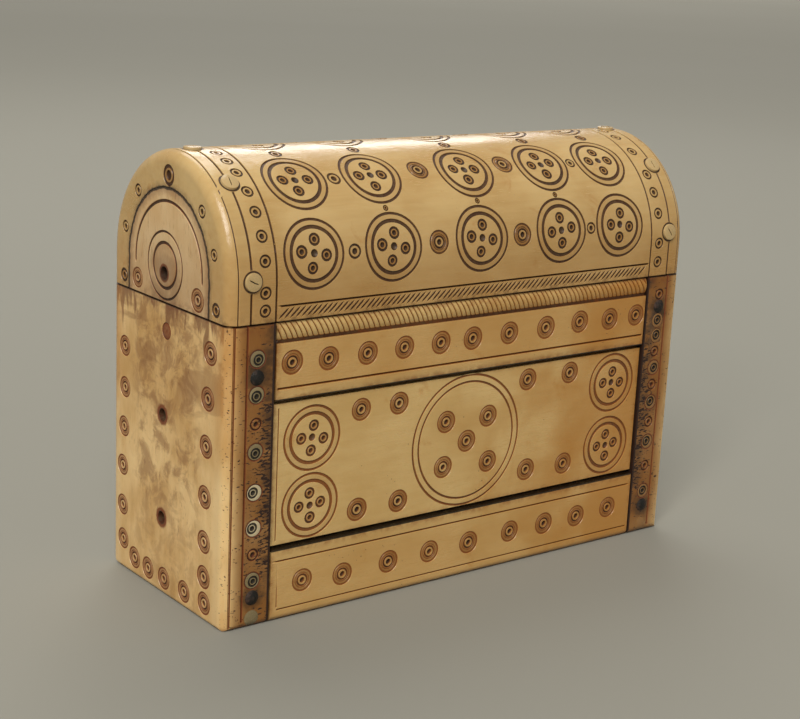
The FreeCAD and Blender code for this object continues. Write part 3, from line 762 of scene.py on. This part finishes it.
ringPair = ringMark("rings", grooveRings(5.65, 0.45, 0.22) + grooveRings(3.8, 0.6, 0.22, inside=0.7), 48)


def refaceEnd(bm, side, reach, stamps, holes=()):
    length = casket["halfLength"]
    low, high = reach
    faces = facesWhere(bm, lambda middle, normal: side * normal.x > 0.999 and
                       side * middle.x > length - 0.01 and low < fromArch(middle).length < high)
    reface(bm, faces, lambda co: Vector((side * co.y, co.z, 0)),
           lambda co: Vector((side * (length + co.z), side * co.x, co.y)), stamps, holes=holes)


def carveLid(bm):
    carveBarrel(bm)
    for side in (-1, 1):
        stamps = [(dots[mark], side * y, casket["spring"] + z, chance.uniform(0, 6), size)
                  for mark, y, z, size in lidEnd["rim"]]
        refaceEnd(bm, side, lidEnd["rimReach"], stamps)


def carvePlug(bm, side):
    spring, radius, foot = casket["spring"], lidEnd["archRadius"], lidEnd["archFoot"]
    arch = [(-radius, spring + foot), (-radius, spring + foot / 2)]
    for step in range(lidEnd["archSteps"] + 1):
        angle = math.pi * step / lidEnd["archSteps"]
        arch.append((-radius * math.cos(angle), spring + radius * math.sin(angle)))
    arch += [(-y, z) for y, z in arch[1::-1]]
    stamps = [(grooveAlong(arch, lidEnd["archWidth"], lidEnd["archDepth"]), 0, 0, 0.0, 1.0),
              (ringPair, side * lidEnd["rings"][0], lidEnd["rings"][1], 0.0, 1.0)]
    for mark, y, z, size in lidEnd["dots"]:
        stamps.append((dots[mark], side * y, z, chance.uniform(0, 6), size))
    for start, end in lidEnd["cracks"]:
        stamps.append(crack((side * start[0], start[1]), (side * end[0], end[1])))
    y, z = lidEnd["hole"]
    refaceEnd(bm, side, lidEnd["plugReach"], stamps, [(side * y, z, lidEnd["holeRadius"], lidEnd["holeRim"])])
    inkWhere(bm, lambda co: math.hypot(co.y - y, co.z - z) < lidEnd["holeRadius"] + 0.1 and
             side * co.x < casket["halfLength"] - 0.1)


# Pegs: every outer end gets a ring-and-dot, cut off centre, or a split
pegs = {
    "chamfer": 0.1, "gapPigment": 0.8, "ringsInLid": 0.35, "splitShare": 0.78, "splitWidth": 0.2,
    # the left front pegs' rings, by the pegs' height
    "offsets": {45.94: (0.2, -0.18), 39.96: (0.0, -0.25), 30.43: (0.05, -0.27), 23.49: (-0.24, 0.0),
                17.33: (-0.24, 0.05), 8.26: (0.18, -0.18)},
}


def looseParts(bm):
    left = set(bm.verts)
    while left:
        stack = [left.pop()]
        part = []
        while stack:
            vert = stack.pop()
            part.append(vert)
            for edge in vert.link_edges:
                other = edge.other_vert(vert)
                if other in left:
                    left.discard(other)
                    stack.append(other)
        yield part


def outerEnds(bm, inLid):
    # centre, way out and radius of every peg's round outer end
    for part in looseParts(bm):
        middle = sum((v.co for v in part), Vector()) / len(part)
        out = Vector((0, middle.y, middle.z - casket["spring"] if inLid else 0)).normalized()
        top = max(v.co.dot(out) for v in part)
        rim = [v for v in part if v.co.dot(out) > top - 0.01]
        centre = sum((v.co for v in rim), Vector()) / len(rim)
        radius = max((v.co - centre).length for v in rim)
        if len(rim) > 20 and all((v.co - centre).length > radius * 0.9 for v in rim):
            yield centre, out, radius


def carvePegs(bm, inLid):
    softenEdges(bm, lambda edge: True, pegs["chamfer"])
    for centre, out, radius in list(outerEnds(bm, inLid)):
        across = Vector((1, 0, 0)) if out.y < 0 else Vector((-1, 0, 0))
        up = out.cross(across)
        faces = facesWhere(bm, lambda middle, normal: normal.dot(out) > 0.999 and
                           (middle - centre).length < radius)
        offset = (chance.uniform(-0.16, 0.16), chance.uniform(-0.16, 0.16))
        for height, known in pegs["offsets"].items():
            if centre.x < 0 and centre.y < 0 and abs(centre.z - height) < 0.02:
                offset = known
        if not inLid or chance.random() < pegs["ringsInLid"]:
            mark = (dots["ring"], *offset, chance.uniform(0, 6), chance.uniform(0.8, 0.86))
        else:
            turn = chance.uniform(0, math.pi)
            arm = Vector((math.cos(turn), math.sin(turn))) * radius * pegs["splitShare"]
            mark = crack(-arm, arm, width=pegs["splitWidth"])
        reface(bm, faces, lambda co: Vector(((co - centre).dot(across), (co - centre).dot(up), 0)),
               lambda co: centre + across * co.x + up * co.y + out * co.z, [mark])
        if not inLid:
            # the gap round the peg is dark
            inkWhere(bm, lambda co: -0.2 < (co - centre).dot(out) < -0.01 and
                     radius < (co - centre).length < radius + 0.2, pegs["gapPigment"])


# Materials: shader maths by arithmetic on sockets
class Shade:
    # one value or colour on its way through a material
    def __init__(self, tree, socket):
        self.tree = tree
        self.socket = socket

    def node(self, kind, settings=(), inputs=(), output=0):
        made = self.tree.nodes.new(kind)
        for key, value in dict(settings).items():
            setattr(made, key, value)
        for key, value in dict(inputs).items():
            if isinstance(value, Shade):
                self.tree.links.new(value.socket, made.inputs[key])
            else:
                made.inputs[key].default_value = value
        return Shade(self.tree, made.outputs[output])

    def maths(self, operation, *values):
        return self.node("ShaderNodeMath", {"operation": operation}, dict(enumerate(values)))

    def __add__(self, other):
        return self.maths("ADD", self, other)

    def __sub__(self, other):
        return self.maths("SUBTRACT", self, other)

    def __rsub__(self, other):
        return self.maths("SUBTRACT", other, self)

    def __mul__(self, other):
        return self.maths("MULTIPLY", self, other)

    __radd__ = __add__
    __rmul__ = __mul__

    def size(self):
        return self.maths("ABSOLUTE", self)

    def off(self, place):
        # how far it is from a place
        return (self - place).size()

    def root(self):
        return self.maths("SQRT", self)

    def most(self, other):
        return self.maths("MAXIMUM", self, other)

    def step(self, low, high):
        # 0 below low, 1 above high, smooth between; a low above the high turns it round
        if low > high:
            return 1 - self.step(high, low)
        return self.node("ShaderNodeMapRange", {"interpolation_type": "SMOOTHSTEP"},
                         {"Value": self, "From Min": low, "From Max": high})

    def mixed(self, first, second):
        # first where this is 0, second where it is 1
        inputs = {0: self, 6: tint(first), 7: tint(second)}
        return self.node("ShaderNodeMix", {"data_type": "RGBA"}, inputs, 2)

    def stretched(self, x, y, z):
        return self.node("ShaderNodeVectorMath", {"operation": "MULTIPLY"}, {0: self, 1: (x, y, z)})

    def noise(self, scale, detail=2.0, rough=0.5, twist=0.0):
        return self.node("ShaderNodeTexNoise", (), {"Vector": self, "Scale": scale, "Detail": detail,
                                                    "Roughness": rough, "Distortion": twist})

    def cells(self, scale):
        return self.node("ShaderNodeTexVoronoi", (), {"Vector": self, "Scale": scale})


def tint(colour):
    # a colour as seen, three values of 0 to 255, as the shader takes it; a socket's colour stays as it is
    if isinstance(colour, Shade):
        return colour
    return (*(((c / 255 + 0.055) / 1.055) ** 2.4 for c in colour), 1.0)


class Surface:
    # a material under construction: the place in millimetres, its parts, and the shader
    def __init__(self, name):
        self.material = bpy.data.materials.new(name)
        self.material.use_nodes = True
        self.tree = self.material.node_tree
        self.shader = self.tree.nodes["Principled BSDF"]
        start = Shade(self.tree, None)
        place = Shade(self.tree, self.tree.nodes.new("ShaderNodeTexCoord").outputs["Object"])
        self.place = place.stretched(1000, 1000, 1000)
        split = self.tree.nodes.new("ShaderNodeSeparateXYZ")
        self.tree.links.new(self.place.socket, split.inputs[0])
        self.x, self.y, self.z = (Shade(self.tree, socket) for socket in split.outputs)
        self.cut = start.node("ShaderNodeAttribute", {"attribute_name": "cut"}, (), 2)
        self.tone = start.node("ShaderNodeAttribute", {"attribute_name": "tone"}, (), 2)

    def put(self, name, value):
        if isinstance(value, Shade):
            self.tree.links.new(value.socket, self.shader.inputs[name])
        else:
            self.shader.inputs[name].default_value = value

    def bump(self, height, strength, distance):
        # distance in metres
        self.put("Normal", height.node("ShaderNodeBump", (), {"Height": height, "Strength": strength,
                                                              "Distance": distance}))


boneLooks = {
    "bone": {"light": (218, 184, 122), "dark": (202, 164, 100), "stain": (176, 114, 34),
             "fill": (148, 98, 42), "thin": (136, 76, 24), "pigment": (54, 26, 9), "gloss": 0.26,
             "grain": (0.12, 1, 1)},
    "bone_end": {"light": (238, 202, 142), "dark": (200, 156, 92), "stain": (136, 86, 38),
                 "fill": (160, 112, 66), "thin": (118, 56, 20), "pigment": (50, 24, 10), "gloss": 0.3,
                 "grain": (1, 1, 0.25)},
    "lid_bone": {"light": (206, 174, 117), "dark": (186, 149, 91), "stain": (166, 108, 38),
                 "fill": (148, 100, 42), "thin": (74, 40, 12), "pigment": (48, 26, 9), "gloss": 0.2,
                 "grain": (0.12, 1, 1)},
    "lid_end_bone": {"light": (230, 198, 148), "dark": (206, 166, 112), "stain": (140, 92, 50),
                     "fill": (160, 112, 62), "thin": (110, 56, 22), "pigment": (50, 28, 14),
                     "gloss": 0.36, "grain": (1, 1, 0.2)},
    "pegs": {"light": (150, 132, 94), "dark": (112, 98, 68), "stain": (92, 70, 42),
             "fill": (132, 114, 78), "thin": (42, 30, 18), "pigment": (20, 15, 10), "gloss": 0.22,
             "grain": (1, 1, 1)},
    "bone_inside": {"light": (204, 172, 120), "dark": (176, 138, 86), "stain": (136, 96, 54),
                    "fill": (168, 122, 68), "thin": (120, 76, 40), "pigment": (56, 34, 20),
                    "gloss": 0.55, "grain": (0.12, 1, 1)},
}


def stained(colour, *layers):
    # lays colours over each other, each where its mask says
    for mask, over in layers:
        colour = mask.mixed(colour, over)
    return colour


black = (17, 12, 9)


def boardStainsAndShade(make, colour, look, clouds, mottle, outside):
    # the right half of the front is more orange, and so is the foot
    z, x = make.z, make.x.size()
    warm = (make.x + 60 * (clouds - 0.5)).step(-6, 44) * 0.72
    rail = z.step(38, 41) * z.step(48.6, 47.6) * (0.25 + 0.3 * clouds)
    warm = warm.most(z.step(14, 8) * 0.3).most(rail)
    # painted shade along the open joints, mottled, and black lines painted for their shadow gaps
    jointShade = z.off(12.7).step(1.6, 0.1).most(z.off(38.4).step(1.4, 0.1))
    jointShade = jointShade.most(x.off(41.8).step(1.6, 0.1) * outside)
    lines = z.off(12.7).step(0.34, 0.2).most(z.off(38.3).step(0.44, 0.26)).most(x.off(41.8).step(0.4, 0.22))
    return stained(colour, (warm, look["stain"]), (jointShade * mottle.step(0.3, 0.7) * 0.7, look["thin"]),
                   (lines * 0.96, black))


def endBlockStainsAndPaintedLight(make, colour, look, clouds, mottle):
    place, x, y, z = make.place, make.x.size(), make.y.size(), make.z
    flange = y.step(17.2, 18.9)
    face = x.step(50.3, 50.55)
    # mottled brown in the middle of the end face, with short upright flecks, and runs of brown from the top
    middle = y.step(13.5, 8.0) * (z.step(12, 22) * 0.5 + 0.5)
    clots = place.noise(0.22, 5, 0.66, 0.6).step(0.44, 0.62)
    smears = place.stretched(1, 0.5, 1).noise(0.13, 4, 0.6, 0.8).step(0.5, 0.6) * face * z.step(30, 40)
    flecks = place.stretched(1, 1.3, 0.22).noise(2.6, 3, 0.6).step(0.6, 0.72)
    flecks = flecks * face * (0.25 + 0.5 * middle) * place.noise(0.12, 2).step(0.4, 0.6)
    runs = place.stretched(1, 0.5, 0.13).noise(1.0, 4, 0.6, 0.5) + (z - 46) * 0.036
    runs = runs.step(0.58, 0.72) * z.step(38, 46)
    # more orange towards the left corner and inwards on the flanges, where dirt clings
    corner = y.step(14.0, 18.6) * (z + 16 * (clouds - 0.5)).step(22, 44) * make.x.step(1, 0)
    inwards = flange * x.step(50.4, 46.8)
    fringe = place.stretched(0.5, 1, 1.2).noise(0.5, 4, 0.6).step(0.35, 0.6)
    fringe = flange * x.step(45.2, 42.2) * fringe * z.step(4, 12)
    # painted highlight: paler colour along the rounded corner, strongest low down, where it catches the light
    turn = y.off(17.4).step(2.6, 0.6) * face * (z + 20 * (clouds - 0.5)).step(36, 20)
    # black pores, thickest along the flanges' inner edges
    edge = x.step(46.8, 42.4) * flange * z.step(5, 13) * z.step(44, 34)
    pits = (place.stretched(0.55, 1, 1.6).noise(1.9, 2, 0.55) + 0.15 * edge).step(0.65, 0.69)
    specks = place.cells(1.25).step(0.2, 0.1) * (flange + 0.25 * y.step(10, 16))
    specks = specks * place.noise(0.3, 2).step(0.4, 0.55)
    pores = pits * flange
    smoke = flange * x.off(44.6).step(3.2, 1.4) * place.noise(0.22, 4, 0.6).step(0.47, 0.72)
    colour = stained(
        colour, (middle * face * clots * 0.6, look["stain"]), (smears * 0.5, look["stain"]),
        (flecks, look["thin"]), (runs * face * 0.75, (118, 70, 32)), (corner * 0.55, (186, 122, 46)),
        (inwards * (0.7 + 0.4 * clouds), (134, 82, 24)), (fringe * 0.8, (72, 46, 22)),
        (turn * 0.5, (232, 202, 148)), (specks * 0.75, (96, 46, 20)), (pores * 0.95, black),
        (smoke * 0.55, (60, 44, 30)))
    for height in (5.4, 45.4, 42.8):
        # soot round the nails
        rise, away = z - height, x - 45.1
        far = (rise * rise + away * away).root()
        soot = (far + 3 * (mottle - 0.5)).step(3.0, 1.2) * flange
        colour = (soot * 0.6).mixed(colour, (40, 27, 15))
    # painted shade: black on the block's faces inward of the flanges, in the joints with the boards
    inner = x.step(42.25, 42.05) * y.step(13.9, 14.4)
    return (inner * 0.97).mixed(colour, black), pores.most(inner)


def agedLid(make, name, colour, look, clouds, mottle):
    # browner bone towards the seam, and the joint round the plug
    place, y, z = make.place, make.y, make.z
    low = (z + 9 * (clouds - 0.5)).step(69, 53)
    rise = (z - 57.65).most(0.0)
    far = (y * y + rise * rise).root()
    face = make.x.size().step(50.0, 50.4)
    joint = (far + 0.8 * (mottle - 0.5)).off(13.1).step(0.42, 0.16) * face
    halo = (far + 2.0 * (mottle - 0.5)).off(12.9).step(1.6, 0.2) * face
    colour = stained(colour, (low * 0.36, look["stain"]), (halo * 0.4, look["thin"]),
                     (joint * 0.92, (34, 22, 15)))
    if name == "lid_end_bone":
        dirt = (y.off(1.0).step(9.0, 2.0) * z.step(66, 56) * place.noise(0.3, 4, 0.6)).step(0.22, 0.5)
        flecks = place.stretched(1, 1.2, 0.16).noise(2.4, 3, 0.6).step(0.58, 0.72)
        colour = stained(colour, (dirt * 0.5, (120, 84, 54)), (flecks * 0.5, look["stain"]))
    return colour


def pegColoursAndHighlight(make, colour):
    # the left ones between 14 and 27 mm up are painted palest, a painted highlight for the light they catch;
    # the right ones are browner, the lid's lighter
    paleHighlight = make.x.step(0, -1) * make.z.step(14, 15) * make.z.step(27, 26)
    brown = make.x.step(-2, 2) * make.z.step(53, 52)
    return stained(colour, (paleHighlight * 0.75, (222, 204, 164)), (brown * 0.7, (150, 98, 42)),
                   (make.z.step(52, 53) * 0.85, (200, 170, 118)))


def stainsAndPaintedLightBy(make, name, clouds, colour, look):
    # what age and handling have done to one kind of piece: stains and black pores laid over its colour,
    # together with painted shade in the joints and along the lid's seam, and painted highlights on the end
    # blocks' corners and some pegs
    place = make.place
    outside = make.y.size().step(18.2, 18.9).most(make.x.size().step(49.8, 50.3))
    mottle = place.noise(0.7, 4, 0.6)
    pores = place.cells(1.1).step(0.15, 0.06) * place.noise(0.16, 2).step(0.55, 0.68)
    if name == "bone":
        colour = boardStainsAndShade(make, colour, look, clouds, mottle, outside)
    elif name == "bone_end":
        colour, pores = endBlockStainsAndPaintedLight(make, colour, look, clouds, mottle)
    elif name == "pegs":
        colour = pegColoursAndHighlight(make, colour)
    elif name != "bone_inside":
        colour = agedLid(make, name, colour, look, clouds, mottle)
        pores = pores * 0.3
    # painted shade along the seam between lid and base: a mottled brown band and a dark line
    seam = make.z.off(51.5)
    colour = stained(colour, (seam.step(2.2, 0.1) * outside * mottle.step(0.42, 0.66) * 0.5, look["thin"]),
                     (seam.step(0.3, 0.12) * outside * 0.9, look["pigment"]),
                     (make.z.step(0.9, 0.1) * mottle.step(0.3, 0.6) * 0.6, look["thin"]),
                     (pores * 0.7, look["pigment"]))
    return colour, pores


def boneSurface(name):
    look = boneLooks[name]
    make = Surface(name)
    place = make.place
    grain = place.stretched(*look["grain"])
    clouds = place.noise(0.07, 3, 0.55, 0.3)
    streaks = grain.noise(0.8, 4, 0.55, 0.2)
    fine = grain.noise(4.5, 3, 0.6)
    colour = (streaks * 0.25 + clouds * 0.75).step(0.3, 0.7).mixed(look["light"], look["dark"])
    spots = place.noise(0.2, 4, 0.6, 0.5).step(0.6, 0.76) * 0.4
    colour = spots.mixed(colour, look["stain"])
    colour, pores = stainsAndPaintedLightBy(make, name, clouds, colour, look)
    # the cuts: brown inside the rings, dark pigment in the grooves, worn away here and there; round the lid's
    # pegs the same dark is painted shade
    faded = place.noise(0.09, 2, 0.5)
    colour = (make.tone * (0.5 + 0.6 * faded)).mixed(colour, look["fill"])
    worn = place.noise(1.4, 4, 0.65)
    inkAndShade = (make.cut + 0.45 * (worn - 0.5)).step(0.22, 0.58)
    inkAndShadeColour = (make.cut + 0.5 * (worn - 0.5) + 0.4 * (faded - 0.5)).step(0.72, 1.05)
    inkAndShadeColour = inkAndShadeColour.mixed(look["thin"], look["pigment"])
    colour = (inkAndShade * (1.15 - 0.4 * worn)).mixed(colour, inkAndShadeColour)
    make.put("Base Color", colour)
    rough = look["gloss"] + 0.14 * (fine - 0.5) + 0.2 * clouds - 0.06 + 0.3 * inkAndShade + 0.25 * pores
    make.put("Roughness", rough)
    make.put("IOR", 1.5)
    make.put("Subsurface Weight", 0.12)
    make.put("Subsurface Radius", (1.0, 0.6, 0.35))
    make.put("Subsurface Scale", 0.0012)
    height = streaks * 0.45 + fine * 0.2 + place.noise(0.45, 2) * 0.7 - pores * 0.9 - inkAndShade * 0.15 * worn
    make.bump(height, 0.5, 0.00016)
    return make.material


def ironSurface():
    make = Surface("iron")
    place = make.place
    rust = place.noise(0.9, 5, 0.65, 0.4).step(0.45, 0.68)
    scale = place.noise(3.5, 4, 0.6)
    colour = scale.mixed((30, 30, 29), (58, 55, 50))
    colour = (rust * 0.45).mixed(colour, (92, 56, 34))
    make.put("Base Color", colour)
    make.put("Metallic", 0.65 - 0.6 * rust)
    make.put("Roughness", 0.48 + 0.3 * rust + 0.2 * (scale - 0.5))
    make.bump(scale + rust * 0.5 + place.noise(0.8, 2) * 0.8, 0.7, 0.00018)
    return make.material


def pewterSurface():
    make = Surface("pewter")
    place = make.place
    turned = place.stretched(0.05, 0.05, 6.0).noise(1.0, 3, 0.6)
    tarnish = place.noise(0.22, 4, 0.6, 0.5)
    spots = place.cells(0.9).step(0.14, 0.05) * place.noise(0.4, 2).step(0.5, 0.65)
    colour = tarnish.step(0.35, 0.65).mixed((150, 148, 144), (104, 100, 96))
    colour = (spots * 0.7).mixed(colour, (58, 54, 52))
    make.put("Base Color", colour)
    make.put("Metallic", 0.92 - 0.5 * spots)
    make.put("Roughness", 0.34 + 0.22 * tarnish + 0.2 * (turned - 0.5))
    make.bump(turned * 0.6 + place.noise(0.5, 2) * 0.7 - spots * 0.4, 0.5, 0.00012)
    return make.material


surfaces = {name: boneSurface(name) for name in boneLooks}
surfaces["iron"] = ironSurface()
surfaces["pewter"] = pewterSurface()
print("materials made")


for side, name in ((-1, "front"), (1, "back")):
    makePiece(name + "TopRail", name + "_top_rail", "casket", "bone", "bone", carveTopRail, side)
    makePiece(name + "BottomRail", name + "_bottom_rail", "casket", "bone", "bone", carveBottomRail, side)
    makePiece(name + "MiddlePanel", name + "_middle_panel", "casket", "bone", "bone", carveMiddlePanel, side)
print("boards carved")
for side, name in ((-1, "left"), (1, "right")):
    makePiece(name + "EndBlock", name + "_end_block", "casket", "bone", "bone_end", carveEndBlock, side)
    makePiece(name + "LidEnd", "lid_" + name + "_end", "lid", "lid_bone", "lid_end_bone", carvePlug, side)
    makePiece(name + "WallPegs", name + "_wall_pegs", "casket", "pegs", "pegs", carvePegs, False)
    makePiece(name + "LidPegs", "lid_" + name + "_pegs", "lid", "pegs", "pegs", carvePegs, True)
print("ends and pegs carved")
makePiece("barrel", "lid_barrel", "lid", "lid_bone", "lid_bone", carveLid)
print("lid carved")

# The frame's own parts keep their shape and get the same materials
kept = {
    "bone_inside": ("floor_board", "left_divider", "right_divider"),
    "iron": ("iron_nails", "left_hinge_leaf", "right_hinge_leaf", "left_hinge_strap", "right_hinge_strap",
             "left_hinge_pin", "right_hinge_pin", "hinge_leaf_nails", "hinge_strap_nails"),
    "pewter": ("left_vessel", "middle_vessel", "right_vessel",
               "left_stopper", "middle_stopper", "right_stopper"),
}
for look, names in kept.items():
    for name in names:
        for holder in nodes[name].material_slots:
            holder.material = surfaces[look]

# Floor, light and camera
floorMesh = bpy.data.meshes.new("floor")
floorBm = bmesh.new()
bmesh.ops.create_grid(floorBm, x_segments=1, y_segments=1, size=9)
floorBm.to_mesh(floorMesh)
floorBm.free()
floor = bpy.data.objects.new("floor", floorMesh)
bpy.context.scene.collection.objects.link(floor)
ground = Surface("ground")
ground.put("Base Color", ground.place.noise(0.002, 2).mixed((144, 142, 131), (149, 147, 137)))
ground.put("Roughness", 0.9)
ground.put("Specular IOR Level", 0.1)
floorMesh.materials.append(ground.material)

world = bpy.data.worlds.new("studio")
world.use_nodes = True
world.node_tree.nodes["Background"].inputs["Color"].default_value = (1.0, 0.985, 0.96, 1.0)
world.node_tree.nodes["Background"].inputs["Strength"].default_value = 0.3
bpy.context.scene.world = world


def addLight(name, kind, place, target, **settings):
    data = bpy.data.lights.new(name, kind)
    for key, value in settings.items():
        setattr(data, key, value)
    lamp = bpy.data.objects.new(name, data)
    lamp.location = place
    lamp.rotation_euler = (Vector(target) - Vector(place)).to_track_quat("-Z", "Y").to_euler()
    bpy.context.scene.collection.objects.link(lamp)


middle = (0.0, 0.0, 0.04)
addLight("sun", "SUN", (-0.62, -0.62, 1.0), middle, energy=2.15, angle=math.radians(32),
         color=(1.0, 0.975, 0.94))
addLight("glint", "AREA", (-0.52, -0.34, 0.42), (-0.03, -0.01, 0.05), energy=0.7, size=0.09,
         color=(1.0, 0.97, 0.92))
addLight("above", "AREA", (0.16, 0.42, 0.75), middle, energy=2.6, size=0.5, color=(1.0, 0.985, 0.96))
addLight("far", "AREA", (3.0, 4.0, 2.2), (2.6, 3.4, 0.0), energy=42, size=1.5, color=(1.0, 0.96, 0.92))

# The camera stands where the photograph was taken from
photoCamera = {"place": (-0.18593, -0.23805, 0.11419), "yaw": 37.753, "pitch": 14.536, "roll": 2.729,
               "lens": 75.91, "sensor": 36.0}
yaw, pitch, roll = (math.radians(photoCamera[key]) for key in ("yaw", "pitch", "roll"))
ahead = Vector((math.sin(yaw) * math.cos(pitch), math.cos(yaw) * math.cos(pitch), -math.sin(pitch)))
level = Vector((math.cos(yaw), -math.sin(yaw), 0))
upward = level.cross(ahead)
cameraX = math.cos(roll) * level + math.sin(roll) * upward
cameraY = -math.sin(roll) * level + math.cos(roll) * upward
cameraData = bpy.data.cameras.new("camera")
cameraData.sensor_fit = "HORIZONTAL"
cameraData.sensor_width = photoCamera["sensor"]
cameraData.lens = photoCamera["lens"]
cameraData.clip_start = 0.01
cameraData.clip_end = 60
camera = bpy.data.objects.new("camera", cameraData)
turn = Matrix((cameraX, cameraY, -ahead)).transposed().to_4x4()
camera.matrix_world = Matrix.Translation(photoCamera["place"]) @ turn
bpy.context.scene.collection.objects.link(camera)
bpy.context.scene.camera = camera
bpy.context.scene.view_settings.view_transform = "Standard"

print("scene ready")
